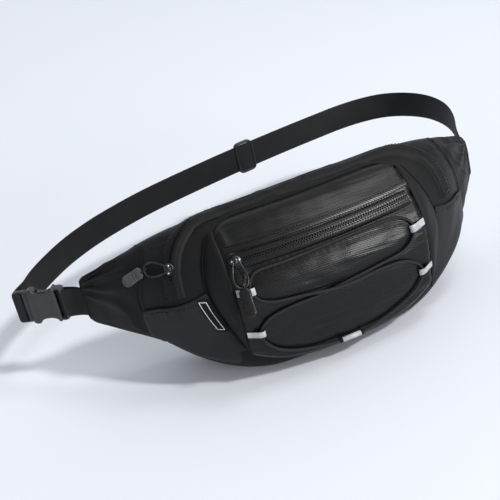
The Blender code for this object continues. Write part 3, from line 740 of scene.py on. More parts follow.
def crumple(x, y, z):
    """Creases: narrow ridges where smooth noise passes through zero."""
    return (1 - min(1.0, abs(bumps(x, y, z)) * 3.2)) ** 2


def shell_relief(x, w):
    """Soft folds of the main shell. They grow on the open top band and fade under the front panels."""
    side = abs(x) / BAG_HALF
    swell = 0.8 * bumps(x * 16, w * 11, 3.1)
    top = bell(w - 0.915, 0.04) * (1 - ease((side - 0.62) / 0.2))
    long_folds = crumple(x * 17 + w * 30, w * 40, 7.7) - 0.35
    soft_folds = bumps(x * 28 + w * 40, w * 18, 4.2)
    flank = bell(w - 0.80, 0.11) * ease((side - 0.72) / 0.12) * (1 - ease((side - 1.0) / 0.03))
    side_folds = crumple(x * 42 + w * 6, w * 13, 1.9) - 0.3
    under = bell(w - 0.12, 0.09) * 0.5 * bumps(x * 30, w * 25, 9.4)
    pucker = 0.30 * sin(x / MM * 2 * pi / 8.5) * bell(w - 0.875, 0.012) * (1 - ease((side - 0.6) / 0.1))
    edge = min(1.0, w / 0.03, (1 - w) / 0.02)
    folds = top * (1.6 * long_folds + 1.3 * soft_folds) + flank * side_folds
    return MM * edge * (swell + folds + under + pucker)


def seam_groove(distance):
    """A sewn seam: a groove with a soft roll beside it."""
    return MM * (0.5 * bell(distance - 4.5 * MM, 3.5 * MM) - 0.9 * bell(distance, 1.5 * MM))


def make_camera():
    """At the photograph's viewing angle: 26 degrees down, from 15 degrees left of the front."""
    azimuth, elevation, roll = [radians(angle) for angle in CAMERA_ANGLES]
    view = Vector((sin(azimuth) * cos(elevation), cos(azimuth) * cos(elevation), -sin(elevation)))
    level = Vector((cos(azimuth), -sin(azimuth), 0))
    right = level * cos(roll) - level.cross(view) * sin(roll)
    camera = bpy.data.cameras.new("camera")
    camera.lens = CAMERA_LENS
    camera.sensor_width = 36
    obj = bpy.data.objects.new("camera", camera)
    turned = Matrix((right, right.cross(view), -view)).transposed().to_4x4()
    obj.matrix_world = Matrix.Translation(CAMERA_PLACE) @ turned
    bpy.context.scene.collection.objects.link(obj)
    bpy.context.scene.camera = obj


def add_lamp(name, kind, direction, energy, colour=(1, 1, 1), place=(0, 0, 0)):
    lamp = bpy.data.lights.new(name, kind)
    lamp.energy = energy
    lamp.color = colour
    obj = bpy.data.objects.new(name, lamp)
    obj.location = place
    obj.rotation_euler = direction.to_track_quat("-Z", "Y").to_euler()
    bpy.context.scene.collection.objects.link(obj)
    return lamp


def add_panel(name, place, target, size, energy):
    lamp = add_lamp(name, "AREA", Vector(target) - Vector(place), energy, place=place)
    lamp.shape = "RECTANGLE"
    lamp.size, lamp.size_y = size


def make_studio():
    """A pale sweep with an even surround, a soft sun from the upper right and a low panel at the right."""
    scene = bpy.context.scene
    scene.view_settings.view_transform = "Standard"
    world = bpy.data.worlds.new("surround")
    world.use_nodes = True
    surround = world.node_tree.nodes["Background"]
    surround.inputs[0].default_value = (0.97, 0.985, 1.0, 1)
    surround.inputs[1].default_value = 0.45
    scene.world = world
    shape = Shape()
    reach, bend, just_under = 14.0, 3.0, -0.0006
    flat_rows, bend_rows, rows = 8, 12, 25
    for i in range(rows):
        turn = pi / 2 * max(0.0, min(1.0, (i - flat_rows) / bend_rows))
        y = -reach + 2.0 * min(i, flat_rows) + bend * sin(turn)
        z = just_under + bend * (1 - cos(turn)) + max(0, i - flat_rows - bend_rows) * 0.6
        shape.points += [Vector((x, y, z)) for x in (-reach, -1.5, 1.5, reach)]
    for i in range(rows - 1):
        for j in range(3):
            a = i * 4 + j
            shape.face((a, a + 1, a + 5, a + 4))
    shape.build("floor", "floor", body=None)
    add_lamp("sun", "SUN", Vector((-0.68, 0.80, -1.0)), 1.75, (1.0, 0.99, 0.97)).angle = radians(6)
    add_panel("front_panel", (1.05, -1.97, 0.41), (0.05, -0.05, 0.09), (0.70, 0.62), 25)
    add_panel("side_panel", (0.67, -0.13, 1.56), (0.03, -0.02, 0.1), (0.5, 0.5), 5.0)
    add_panel("top_panel", (0.35, 0.9, 1.6), (0, 0.05, 0.1), (1.4, 0.8), 1.2)


def shell_place(point, x, w):
    """Where the skin comes nearest to a point, as (x, w), searched from a start close by."""
    for _ in range(4):
        here = shell(x, w)
        along = (shell(x + 0.1 * MM, w) - here) / (0.1 * MM)
        around = (shell(x, w + 0.0004) - here) / 0.0004
        gap = point - here
        a, b, c = along.dot(along), along.dot(around), around.dot(around)
        e, f = gap.dot(along), gap.dot(around)
        x += (e * c - f * b) / (a * c - b * b)
        w = min(max(w + (f * a - e * b) / (a * c - b * b), 0.01), 0.998)
    return x, w


def seam_half(w):
    """Half the width of the bag's body to its wing seams, which bow outwards at the belly."""
    return BAG_HALF + 13.5 * MM * bell(w - 0.55, 0.2) - 1.5 * MM * bell(w - 0.93, 0.1)


# The bag's soft pieces


def make_shell():
    rings = []
    for share in steps(160, -1.0, 1.0):
        places = [(seam_half(w) * share, w) for w in steps(120)]
        rings.append([skin(x, w, shell_relief(x, w)) for x, w in places])
    made = Shape().add_sweep(rings).build("shell_cloth", "nylon", ["main_shell"])


def wing_relief(side, share, w):
    """Folds that fan out from the wing's tip, over a soft belly that is held down at the seam."""
    front = bell(w - 0.68, 0.24)
    spread = 0.55 + 0.9 * (1 - share)
    fade = 1 - 0.75 * ease((share - 0.80) / 0.2)
    fan = 0.0
    for k, (middle, width, height) in enumerate(WING_FOLDS):
        off = w - 0.76 - (middle - 0.70) * spread - 0.015 * sin(share * 6 + 2.1 * k + side)
        width *= spread
        crease = bell(off, width) - 0.55 * bell(off - 1.4 * width, width)
        fan += height * crease * ease((share - 0.06 * k * (side < 0)) * 2.6) * fade
    cross = 1.5 * (crumple(share * 2.2 + w * 4.0 * side, w * 3.5, 4.4 + side) - 0.3)
    belly = 2.4 * sin(pi * min(1.0, share * 1.25)) * bell(w - 0.6, 0.3)
    soft = 0.7 * bumps(share * 4, w * 9, 2.0 + side)
    near_seam = 1 - 0.9 * bell(share, 0.06)
    edge = min(1.0, w / 0.05, (1 - w) / 0.04)
    return MM * edge * near_seam * (fan + cross * front * (1 - share) + belly * front + soft)


def make_back_panel():
    """The padded back, with quilted channels and a bound edge."""
    half = BAG_HALF - 2 * MM

    def place(u, v, lift):
        x = half * (2 * u - 1)
        z = bottom_z(x) + v * (shell(x, 1.0).z - 2 * MM - bottom_z(x))
        return Vector((x, back_y(x) + lift, z))

    def padding(u, v):
        x = half * (2 * u - 1) / MM
        z = v * 147
        rim = ease(min(min(u, 1 - u) * 296, z, (1 - v) * 147) / 7)
        channels = max(bell(abs(x) - 48, 3.2), bell(z - 74 + abs(x) * 0.12, 3.2) * (abs(x) < 48))
        softness = 0.5 * bumps(u * 9, v * 5, 2.2)
        return (BACK_THICK / MM * (0.45 + 0.6 * rim) - 3.4 * channels + softness) * MM

    shape = slab_shape(lambda u, v: place(u, v, 0.3 * MM), lambda u, v: place(u, v, padding(u, v)), 120, 60)
    shape.build("back_pad", "spacer_mesh", ["back_panel"])
    corners = [(0, 0), (1, 0), (1, 1), (0, 1), (0, 0)]
    rim = []
    for (u0, v0), (u1, v1), count in zip(corners, corners[1:], (60, 30, 60, 30)):
        rim += [(u0 + (u1 - u0) * t, v0 + (v1 - v0) * t) for t in steps(count)[:-1]]
    points = [place(u, 0.022 + 0.962 * v, 3.2 * MM) for u, v in rim]
    frames = along_path(points, [Vector((0, 1, 0))] * len(points), closed=True)
    make_strip("back_binding", frames, oval(3.2, 2.9, 12, 0, 0.75), "webbing", closed=True)


def make_wing(name, side):
    rings = []
    for share in steps(60):
        ring = []
        for w in steps(150):
            start = seam_half(w) + 0.3 * MM
            x = start + (WING_TIP_X + 1.2 * MM * sin(pi * w) - start) * share
            body = min(x, WING_TIP_X - 0.2 * MM)
            point = skin(side * body, w, wing_relief(side, share, w))
            point.x += side * (x - body)
            middle = (top_z(body) + bottom_z(body)) / 2
            point.z = middle + (point.z - middle) * (1 - 0.13 * max(0.0, (share - 0.9) / 0.1) ** 2.5)
            ring.append(point)
        rings.append(ring)
    for pull in (0.82, 0.45):
        middle = sum(rings[-1], Vector()) / len(rings[-1])
        rings.append([middle.lerp(point, pull) + Vector((side * 0.5 * MM, 0, 0)) for point in rings[-1]])
    made = Shape().add_sweep(rings).build(name + "_cloth", "nylon", [name])
    ws = steps(90, 0.03, 0.97)
    points = [shell(side * (seam_half(w) + 0.2 * MM), w) for w in ws]
    normals = [skin_normal(side * (seam_half(w) - 1 * MM), w) for w in ws]
    make_strip(name + "_seam", along_path(points, normals), oval(0.9, 0.7, 8, -0.1), "thread")
    row = [(side * (seam_half(w) - 3.2 * MM), w) for w in ws[6:-4]]
    points = [skin(x, w, shell_relief(x, w) + 0.12 * MM) for x, w in row]
    normals = [skin_normal(x, w) for x, w in row]
    stitch_shape(along_path(points, normals)).build(name + "_stitches", "thread")


def pocket_top(x):
    """The pocket's upper edge, which rounds down into its side seams."""
    return POCKET_TOP - 0.058 * (abs(x) / PANEL_HALF) ** 11


def pocket_height(tree, x, b):
    """The pocket cloth's swell between the cords, its drape and the dip along its zip, in millimetres."""
    gap = max(0.0, tree.find(pocket(x, b))[2] - CORD_LIFT)
    free = 1 - bell(gap, 4 * MM)
    drape = 0.8 * bumps(x * 17, b * 6, 8.2) + 0.3 * bumps(x * 60, b * 16, 1.2)
    pull = 0.4 * bumps(x * 30 + b * 30, b * 40, 5.5)
    lift = (0.5 * bell(b - 0.45, 0.3) + drape + pull) * (0.12 + 0.88 * free) - 0.2 * (1 - free)
    return lift - 1.3 * bell(b - FRONT_ZIP_B, 0.022)


def under(spot, lift):
    """The hidden face of a front panel: spot(u, v) gives its place, lift its height over the skin."""
    return lambda u, v: front_skin(*spot(u, v), lift)


def make_side_panel(name, side):
    """The lower front cloth beside the pocket, up to a gathered hem, and on under the pocket and belly."""
    seam_low, inner_hem = 0.03, hem_b(PANEL_HALF + GUSSET_WIDTH)

    def spot(u, v):
        seam_b = seam_low + (inner_hem - seam_low) * v
        inner = gusset_edge(seam_b, side) + 1.5 * MM
        x = inner + (seam_half(w_at(seam_b)) - 0.9 * MM - inner) * u
        return side * x, seam_low + (hem_b(x) - seam_low) * v

    def high(u, v):
        x, b = spot(u, v)
        gathers = sin(u * 2 * pi * 11 + 3 * sin(u * 17)) * bell(1 - v, 0.09) * ease(u * 1.6)
        drape = bumps(u * 3.0, v * 2.4, 5 + side)
        edge = min(1.0, u / 0.04, (1 - u) / 0.03, (1 - v) / 0.02)
        lift = 1.5 + edge * (0.8 + 0.75 * gathers + 0.9 * drape)
        shown = ease(v / 0.14) * (1 - (1 - ease(u / 0.22)) * (1 - ease((b - 0.15) / 0.05)))
        return front_skin(x, b, MM * (-1.2 + (1.2 + lift) * shown))

    made = slab_shape(under(spot, -1.8 * MM), high, 90, 70).build(name + "_cloth", "satin", [name])
    us = steps(60)
    normals = [front_normal(*spot(u, 1.0)) for u in us]
    frames = along_path([front_skin(*spot(u, 1.0), 1.6 * MM) for u in us], normals)
    make_strip(name + "_hem", frames, oval(1.5, 1.0, 10, 0.3), "satin")
    points = [front_skin(*spot(u, 0.945), 2.45 * MM) for u in us]
    stitch_shape(along_path(points, normals)).build(name + "_stitches", "thread")


def make_front_pocket():
    cord = cord_points(4)
    tree = kdtree.KDTree(len(cord))
    for i, point in enumerate(cord):
        tree.insert(point, i)
    tree.balance()

    def spot(u, v):
        x = PANEL_HALF * (2 * u - 1)
        return x, pocket_low(x) + (pocket_top(x) - pocket_low(x)) * v

    def high(u, v):
        x, b = spot(u, v)
        rim = ease(min((1 - v) * 120, v * 120) / 3.0)
        lift = pocket_height(tree, x, b) * rim - 1.2 * (1 - rim)
        return pocket(x, b, MM * lift + seam_groove(PANEL_HALF - abs(x)))

    made = slab_shape(under(spot, 0.9 * MM), high, 130, 130).build("pocket_cloth", "twill", ["front_pocket"])


def make_gusset(name, side):
    top = 0.918

    def spot(u, v):
        b = GUSSET_LOW + (top - GUSSET_LOW) * v
        inner = PANEL_HALF + 0.3 * MM
        return side * (inner + (gusset_edge(b, side) - inner) * u), b

    def high(u, v):
        x, b = spot(u, v)
        lift = POCKET_EDGE + (pocket_rise(b) - POCKET_EDGE) * cos(u * pi / 2)
        width = gusset_edge(b, side) - PANEL_HALF
        drape = 0.9 * bumps(u * 1.6, v * 6, 6 + side) * sin(pi * u)
        lift += MM * drape + 0.8 * seam_groove(u * width) + 0.8 * seam_groove((1 - u) * width)
        return front_skin(x, b, lift)

    made = slab_shape(under(spot, 0.9 * MM), high, 26, 80).build(name + "_cloth", "nylon", [name])
    bs = steps(90, GUSSET_LOW - 0.012, top - 0.006)
    places = [(side * (gusset_edge(b, side) + 0.6 * MM), b) for b in bs]
    frames = along_path([front_skin(*p, 1.3 * MM) for p in places], [front_normal(*p) for p in places])
    make_strip(name + "_piping", frames, oval(0.9, 0.9, 10), "thread")
    bs = steps(90, 0.165, 0.9)
    points = [pocket(side * PANEL_HALF, b, 0.15 * MM) for b in bs]
    frames = along_path(points, [pocket_normal(side * (PANEL_HALF - 2 * MM), b) for b in bs])
    make_strip(name + "_inner_piping", frames, oval(0.7, 0.7, 8, -0.5), "thread")


def make_top_seam():
    """The pocket's top seam, a rolled edge, and the rows of stitches that run along the front."""
    xs = steps(110, -PANEL_HALF, PANEL_HALF)
    points = [front_skin(x, pocket_top(x) + 0.004, 1.1 * MM) for x in xs]
    frames = along_path(points, [front_normal(x, pocket_top(x)) for x in xs])
    make_strip("pocket_top_roll", frames, oval(1.0, 0.9, 10), "thread")
    rows = Shape()
    line = [x * 0.975 for x in xs]
    for b, lift in ((0.836, 1.45), (0.812, 1.35), (0.742, 0.5)):
        points = [pocket(x, b, lift * MM) for x in line]
        stitch_shape(along_path(points, [pocket_normal(x, b) for x in line]), rows)
    rows.build("pocket_stitches", "thread")


def make_zip(name, frames, base, pitch, lip, lip_look):
    """Tape, interlocked coil teeth and two lips of cloth. The base is the tape's height in millimetres."""
    flat = [(-5.4, 0.0), (5.4, 0.0), (5.4, 0.7), (2.4, 0.8), (-2.4, 0.8), (-5.4, 0.7)]
    make_strip(name + "_tape", frames, [(s, base + o) for s, o in flat], "tape", [name + "_zip_tape"])
    teeth = Shape()
    for n, (point, side, out, along) in enumerate(even_frames(frames, pitch)):
        reach = 0.75 * MM if n % 2 else -0.75 * MM
        centre = point + out * ((base + 1.55) * MM) + side * reach
        teeth.add_block(centre, (side, along, out), (1.35 * MM, pitch * 0.36, 0.65 * MM), 0.75)
    teeth.build(name + "_teeth", "coil", [name + "_zip_coil"])
    lips = Shape()
    for sign in (-1, 1):
        lips.add_sweep(swept(frames, [(sign * s, o) for s, o in lip]))
    lips.build(name + "_zip_lips", lip_look)


def make_front_zip():
    places = [front_zip_frame(x) for x in steps(60, -FRONT_ZIP_HALF, FRONT_ZIP_HALF)]
    lip = [(1.25, 2.65), (1.35, 3.0), (2.2, 3.15), (4.2, 2.6), (6.4, 1.2), (7.6, -0.6), (3.0, 1.6)]
    make_zip("front", along_path(*zip(*places)), 0.4, 1.25 * MM, lip, "twill")

    def welt(lift, roll=0.0):
        def place(u, v):
            x = PANEL_HALF * 0.985 * (2 * u - 1)
            return pocket(x, 0.808 + 0.032 * v, (lift + roll * sin(pi * v)) * MM)

        return place

    slab_shape(welt(0.3), welt(1.02, 0.35), 90, 8).build("zip_welt_band", "twill", ["front_zip_welt"])


def make_main_zip():
    path = main_zip_path()
    frames = along_path([shell(x, w) for x, w in path], [skin_normal(x, w) for x, w in path])
    lip = [(1.2, 2.95), (1.4, 3.35), (2.4, 3.45), (4.4, 2.9), (7.0, 1.5), (9.2, -0.7), (3.0, 1.9)]
    make_zip("main", frames, 0.6, 1.3 * MM, lip, "nylon")
    rows = Shape()
    for sign in (-1, 1):
        row = [(point + side * sign * 6.8 * MM + out * 2.0 * MM, side, out) for point, side, out in frames]
        stitch_shape(row[:22], rows)
        stitch_shape(row[-22:], rows)
    rows.build("main_zip_stitches", "thread")
    make_zip_cover("storm_flap", path, frames, 20, 51, (13.0, -9.5))
    make_zip_cover("zip_fly_left", path, frames, 0, 6, (9.0, -9.0))
    make_zip_cover("zip_fly_right", path, frames, 46, 64, (10.0, -10.0))


def make_zip_cover(name, path, frames, first, last, reach):
    """A fly of shell cloth that lies over part of a zip, follows the skin and sinks into it at both edges."""

    def surface(thick):
        def place(u, v):
            n = first + u * (last - first)
            i = min(int(n), last - 1)
            x, w = [a + (b - a) * (n - i) for a, b in zip(path[i], path[i + 1])]
            across = (reach[0] + (reach[1] - reach[0]) * v) * MM * (0.72 + 0.28 * ease(min(u, 1 - u) * 7))
            x, w = shell_place(shell(x, w) + frames[i][1].lerp(frames[i + 1][1], n - i) * across, x, w)
            span = min(1.0, 1.15 * sin(pi * v)) ** 0.8
            folds = crumple(x * 30 + w * 46, w * 44, 3.3) - 0.3
            lift = -0.8 + 4.3 * span + 1.1 * folds * span * sin(pi * v) + thick
            return skin(x, w, lift * MM)

        return place

    top = surface(0.0)
    made = slab_shape(surface(-0.6), top, 3 * (last - first), 22).build(name, "nylon")
    length = travelled([top(u, 0.5) for u in steps(40)])[-1] * MM
    width = travelled([top(0.5, v) for v in steps(40)])[-1] * MM


# Sliders, pulls and tabs


def make_slider(name, place, body):
    """A cast slider: rounded body with two shoulders, a bridge for the pull and two bright rivets."""
    shape = Shape()
    rings = []
    for z, scale in ((0.0, 0.86), (0.3, 0.97), (0.8, 1.0), (1.5, 1.0), (2.0, 0.92), (2.3, 0.78)):
        ring = []
        for turn in steps(28, 0.0, 2 * pi)[:-1]:
            waist = 1 - 0.25 * cos(turn) - 0.10 * cos(2 * turn)
            flat = Vector((5.4 * cos(turn), 4.1 * waist * sin(turn), 0)) * scale
            ring.append(place @ ((flat + UP * z) * MM))
        rings.append(ring)
    shape.add_sweep(rings)
    half = [(3.3, 1.9), (3.1, 3.4), (2.4, 4.5), (1.2, 4.95)]
    arch = half + [(0, 5.05)] + [(-y, z) for y, z in reversed(half)]
    points = [place @ Vector((0, y * MM, z * MM)) for y, z in smooth_path(arch, 2)]
    frames = along_path(points, [place.to_3x3().col[0]] * len(points))
    shape.add_sweep(swept(frames, oval(0.45, 1.2, 10)))
    for x in (-3.1, 3.1):
        rings = []
        for z, radius in ((2.1, 0.95), (2.5, 0.95), (2.85, 0.7), (3.0, 0.3)):
            rings.append([place @ (Vector((x + s, o, z)) * MM) for s, o in oval(radius, radius)])
        shape.add_sweep(rings, slot=1)
    shape.build(name + "_body", ["gunmetal", "bright_metal"], [name], body)


def make_pull(name, place, body):
    """A pear-shaped wire loop, from its pivot down to where the tab hangs."""
    length, half_width = PULL_LENGTH, 6.2 * MM
    outline = [
        (0.0, 0.0),
        (0.45 * MM, 2.0 * MM),
        (length * 0.35, half_width * 0.80),
        (length * 0.70, half_width),
        (length * 0.94, half_width * 0.62),
        (length, 0.0),
    ]
    mirrored = [(x, -y) for x, y in reversed(outline[1:-1])]
    path = [place @ Vector((x, y, 0)) for x, y in smooth_path(outline + mirrored, 8, closed=True)]
    frames = along_path(path, [place.to_3x3().col[2]] * len(path), closed=True)
    make_strip(name + "_wire", frames, oval(0.85, 0.85), "gunmetal", [name], True, body)


def make_tab(name, place, length, body, look, cord_from):
    """A moulded tab with two grip grooves, tied to the pull by a loop of thin cord."""
    half_width, thick = 5.6 * MM, 3.4 * MM
    rings = []
    for x in steps(44, 0.0, length):
        tip = max(0.0, x - (length - half_width)) / half_width
        neck = ease(x / (2.2 * MM))
        groove = bell(x - length * 0.30, 0.7 * MM) + bell(x - length * 0.42, 0.7 * MM)
        width = half_width * (0.62 + 0.32 * neck + 0.04 * ease(x / length)) * sqrt(max(0.02, 1 - tip**2.2))
        high = thick / 2 * (0.55 + 0.45 * neck) * (1 - 0.26 * groove) * max(0.3, 1 - 0.8 * tip**6)
        outline = oval(width * (1 - 0.05 * groove), high, 20, 0, 0.6)
        rings.append([place @ Vector((x, y, z)) for y, z in outline])
    Shape().add_sweep(rings).build(name + "_grip", look, [name], body)
    middle = place @ Vector((0.4 * MM, 0, 0))
    side, out = place.to_3x3().col[1], place.to_3x3().col[2]
    reach = cord_from - middle
    reach += reach.normalized() * (1.4 * MM)
    across = (side * 0.6 + out * 0.55) * MM
    half = [(0.0, 1.5), (0.35, 1.9), (0.75, 1.7), (1.0, 0.9)]
    loop = half + [(1.06, 0.0)] + [(a, -s) for a, s in reversed(half)]
    points = [middle + reach * a + across * s for a, s in smooth_path(loop, 4)]
    make_cord(name + "_cord", points, 0.75 * MM, "elastic", body=body, sides=8)


def make_pull_set(name, point, normal, along, lift, hang, droop, gap, tab_length, tab_look):
    """A slider on its zip, with the wire pull and the moulded tab that hang from it.

    Its lift over the zip, the tab's gap to the pull and the tab's length are in millimetres.
    """
    place = frame_matrix(point + normal * (lift * MM), along, normal)
    make_slider(name + "_zip_slider", place, name + "_slider")
    pivot = place @ Vector((0, 0, PULL_PIVOT))
    axis = along.normalized()
    hang = (hang - axis * hang.dot(axis)).normalized()
    out = axis.cross(hang)
    if out.dot(normal) < 0:
        out = -out
    make_pull(name + "_zip_pull", frame_matrix(pivot, hang, out), name + "_pull")
    tab_pivot = pivot + hang * PULL_LENGTH
    hang = Matrix.Rotation(radians(droop), 3, out) @ hang
    tab_place = frame_matrix(tab_pivot + hang * (gap * MM), hang, out)
    make_tab(name + "_zip_tab", tab_place, tab_length * MM, name + "_tab", tab_look, tab_pivot)


def make_pulls():
    """Both sliders at the left ends of their zips, with their pulls and tabs hanging as in the photograph."""
    x = -FRONT_ZIP_HALF + 1.5 * MM
    along = front_zip_frame(x - 1 * MM)[0] - front_zip_frame(x + 1 * MM)[0]
    hang = Vector((0.18, -0.54, -1))
    make_pull_set("front", *front_zip_frame(x), along, 3.3, hang, 0, 1.2, 25, "dark_rubber")
    before, here, after = main_zip_path()[8:11]
    along = shell(*before) - shell(*after)
    hang = Vector((-0.66, 0.265, -0.60))
    point, normal = shell(*here), skin_normal(*here)
    make_pull_set("main", point, normal, along, 3.8, hang, MAIN_TAB_DROOP, 3.4, 22, "rubber")


# The elastic lacing and its loops


def make_lacing():
    make_cord("lacing_cord", cord_points(6), CORD_RADIUS, "elastic", ["bungee_cord"], closed=True)
    make_side_loop("loop_upper_left", -1, 0.607, 76.0)
    make_side_loop("loop_lower_left", -1, 0.347, 76.5)
    make_side_loop("loop_upper_right", 1, 0.613, 76.0)
    make_side_loop("loop_lower_right", 1, 0.340, 77.0)
    make_bottom_loop()


def make_side_loop(name, side, b, cord_x):
    """A folded reflective tape from the panel's side seam, arched over the cord."""
    edge = PANEL_HALF / MM
    profile = [
        (edge - 0.6, 1.0), (edge - 4, 1.7), (cord_x + 3.6, 2.9), (cord_x + 1.6, 3.6),
        (cord_x - 0.8, 3.6), (cord_x - 2.6, 2.9), (cord_x - 3.6, 1.4), (cord_x - 3.2, 0.5),
    ]
    smooth = smooth_path(profile, 5)
    spread = 2.8 * MM / BAG_HEIGHT

    def surface(extra):
        def place(u, v):
            x, lift = smooth[round(u * (len(smooth) - 1))]
            crown = 0.15 * sin(pi * v)
            return pocket(side * x * MM, b + spread * (2 * v - 1), (lift + extra + crown) * MM)

        return place

    shape = slab_shape(surface(0), surface(0.6), len(smooth) - 1, 6)
    shape.build(name + "_tape", "reflective", [name])


def make_bottom_loop():
    """A tape rolled round the cord, with black tape ends."""
    inner, outer, half = CORD_RADIUS + 0.35 * MM, CORD_RADIUS + 1.15 * MM, 9 * MM

    def ring(radius, x):
        centre = pocket(x, 0.1255, CORD_LIFT + 1.55 * MM)
        out = pocket_normal(x, 0.1255)
        up = Vector((1, 0, 0)).cross(out)
        return [centre + out * s + up * o for s, o in oval(radius, radius, 28)]

    layers = [(outer - 0.25 * MM, -half), (outer, -half + 0.4 * MM), (outer, 0), (outer, half - 0.4 * MM)]
    layers += [(outer - 0.25 * MM, half), (inner, half), (inner, 0), (inner, -half)]
    shape = Shape().add_sweep([ring(radius, x) for radius, x in layers], closed=True)
    shape.build("loop_bottom_roll", "reflective", ["loop_bottom"])
    ends = Shape()
    for side in (-1, 1):
        ends.add_sweep([ring(outer - 0.15 * MM, side * x) for x in (half - 0.2 * MM, half + 2.3 * MM)])
    ends.build("loop_bottom_ends", "thread")


def make_label():
    """A blank woven label with a white frame, sewn into the left pocket seam."""

    def place(u, v, lift):
        b = 0.325 + 0.235 * u
        x = gusset_edge(b, -1) + 1.8 * MM + 10 * MM * v
        return front_skin(-x, b, lift)

    def surface(lift):
        return lambda u, v: place(u, v, (lift + 0.35 * sin(pi * v)) * MM)

    slab_shape(surface(2.5), surface(3.0), 40, 16).build("label_cloth", "label", ["side_label"])
    corners = [(0.07, 0.3), (0.93, 0.3), (0.93, 0.88), (0.07, 0.88)]
    normal = front_normal(-gusset_edge(0.44, -1) - 7 * MM, 0.44)
    border = Shape()
    for (u0, v0), (u1, v1) in zip(corners, corners[1:] + corners[:1]):
        points = []
        for t in steps(20):
            v = v0 + (v1 - v0) * t
            points.append(place(u0 + (u1 - u0) * t, v, 0) + normal * ((3.0 + 0.35 * sin(pi * v)) * MM))
        border.add_sweep(swept(along_path(points, [normal] * 21), oval(0.28, 0.12, 6)))
    border.build("label_border", "white_thread")


# Belt, buckle and slide


def belt_path():
    right = [(205.5, 42), (222, 84), (243, 127), (253, 164), (252, 200), (240, 229), (220, 250), (194, 259.5)]
    left = [(-90, 216.5), (-122, 204.5), (-158, 187), (-190, 165), (-216, 140), (-236, 116), (-246.8, 98.4)]
    cx, cy = BELT_ARC_CENTRE
    arc = []
    for x in steps(9, 165 * MM, -60 * MM):
        arc.append((x / MM, (cy + sqrt(BELT_ARC_RADIUS**2 - (x - cx) ** 2)) / MM))
    return [Vector((x * MM, y * MM, BELT_Z)) for x, y in smooth_path(right + arc + left, 4)]


def flat_profile(half_width, half_thick):
    """A webbing's section: flat faces with rounded selvedges, starting at one end of the outer face."""
    front = [(half_width * (2 * j / 14 - 1), half_thick) for j in range(1, 14)]
    front += [(half_width, half_thick * 0.3), (half_width, -half_thick * 0.3)]
    return front + [(-s, -o) for s, o in front]


def buckle_place(a, t, z=0.0):
    """A point of the buckle, in millimetres along it, out of its front and up."""
    return BUCKLE_CENTRE + (BUCKLE_AXIS * a + BUCKLE_FRONT * t + UP * z) * MM


def make_belt():
    """The belt and the end folded round the plug are one band."""
    tuck = [Vector((200.5 * MM, 33.5 * MM, BELT_Z)), Vector((203.0 * MM, 36 * MM, BELT_Z))]
    outside = [(29.9, -23.2), (32.4, -9), (32.6, -1), (32.0, 2.5), (29.2, 4.2)]
    inside = [(26.2, 2.8), (25.6, -1), (25.8, -7), (26.8, -13)]
    fold = [buckle_place(a, t) for a, t in smooth_path(outside + inside, 5)]
    frames = upright_frames(tuck + belt_path() + fold[2:])
    shape = Shape().add_sweep(swept(frames, flat_profile(WEB_HALF / MM, 0.9)))
    made = shape.build("belt_band", "webbing", ["belt_webbing", "belt_buckle_end"], body=None)
    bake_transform(made)


def make_left_webbing():
    """The short webbing from the left wing, folded round the socket's bar."""
    back = [(-44, 3.5), (-40, 3.7), (-36.5, 1.7), (-31, -0.9), (-24, -2.6), (-18.5, -3.4), (-14.9, -3.3)]
    bend = [(-12.9, -1.2), (-12.9, 1.2)]
    front = [(-14.9, 3.3), (-18.5, 3.4), (-24, 2.6), (-31, 2.7), (-36.5, 4.0), (-40, 5.3), (-44, 5.1)]
    points = [buckle_place(a, t) for a, t in smooth_path(back + bend + front, 5)]
    profile = flat_profile(WEB_HALF / MM - 0.6, 0.75)
    make_strip("left_band", upright_frames(points), profile, "webbing", ["left_webbing"])


def socket_height(a):
    """Half the socket's height along its axis, in millimetres, with a thumb scoop in the middle."""
    scoop = 4.7 * sqrt(max(0.0, 1 - ((a - 2.0) / 9.6) ** 2))
    corner = 1.3 * ease((a - 15.5) / 2.8) + 0.8 * ease((-9.0 - a) / 1.4)
    return 18.0 - scoop - corner


def make_buckle_socket():
    """The buckle's socket: two pillowed plates with thumb scoops, side walls and a bar for the webbing."""
    low_end, length = -10.4, 28.6
    shape = Shape()
    for face in (-1, 1):

        def outer(u, v):
            a = low_end + length * u
            half = socket_height(a)
            rim = min(1.0, min(v, 1 - v) * 2 * half / 1.8, u * length / 1.4, (1 - u) * length / 1.8)
            pillow = 0.35 * sin(pi * v) * sin(pi * u) + 0.30 * bell(a - 13.4, 0.9) * sin(pi * v)
            return buckle_place(a, face * (5.0 + pillow - 1.1 * (1 - rim) ** 2), half * (2 * v - 1))

        def inner(u, v):
            a = low_end + length * u
            return buckle_place(a, face * 3.2, socket_height(a) * (2 * v - 1))

        slab_shape(inner, outer, 64, 40, shape)
    for side in (-1, 1):
        for low, high in ((-10.4, -6.6), (10.6, 18.1)):
            rings = []
            for a in steps(8, low, high):
                top = socket_height(a)
                corners = [(-3.4, 2.6), (3.4, 2.6), (3.4, 0.5), (2.6, 0), (-2.6, 0), (-3.4, 0.5)]
                rings.append([buckle_place(a, t, side * (top - drop)) for t, drop in corners])
            shape.add_sweep(rings)
    bar = [(-9.6, 15.9), (-13.0, 16.2), (-15.6, 15.9), (-16.9, 14.2), (-17.1, 8.0), (-17.1, 0.0)]
    route = smooth_path(bar + [(a, -z) for a, z in reversed(bar[:-1])], 5)
    frames = along_path([buckle_place(a, 0, z) for a, z in route], [BUCKLE_FRONT] * len(route))
    shape.add_sweep(swept(frames, oval(1.15, 4.3, 16, 0, 0.6)))
    shape.build("socket_body", "plastic", ["buckle_socket"], smooth_angle=45)


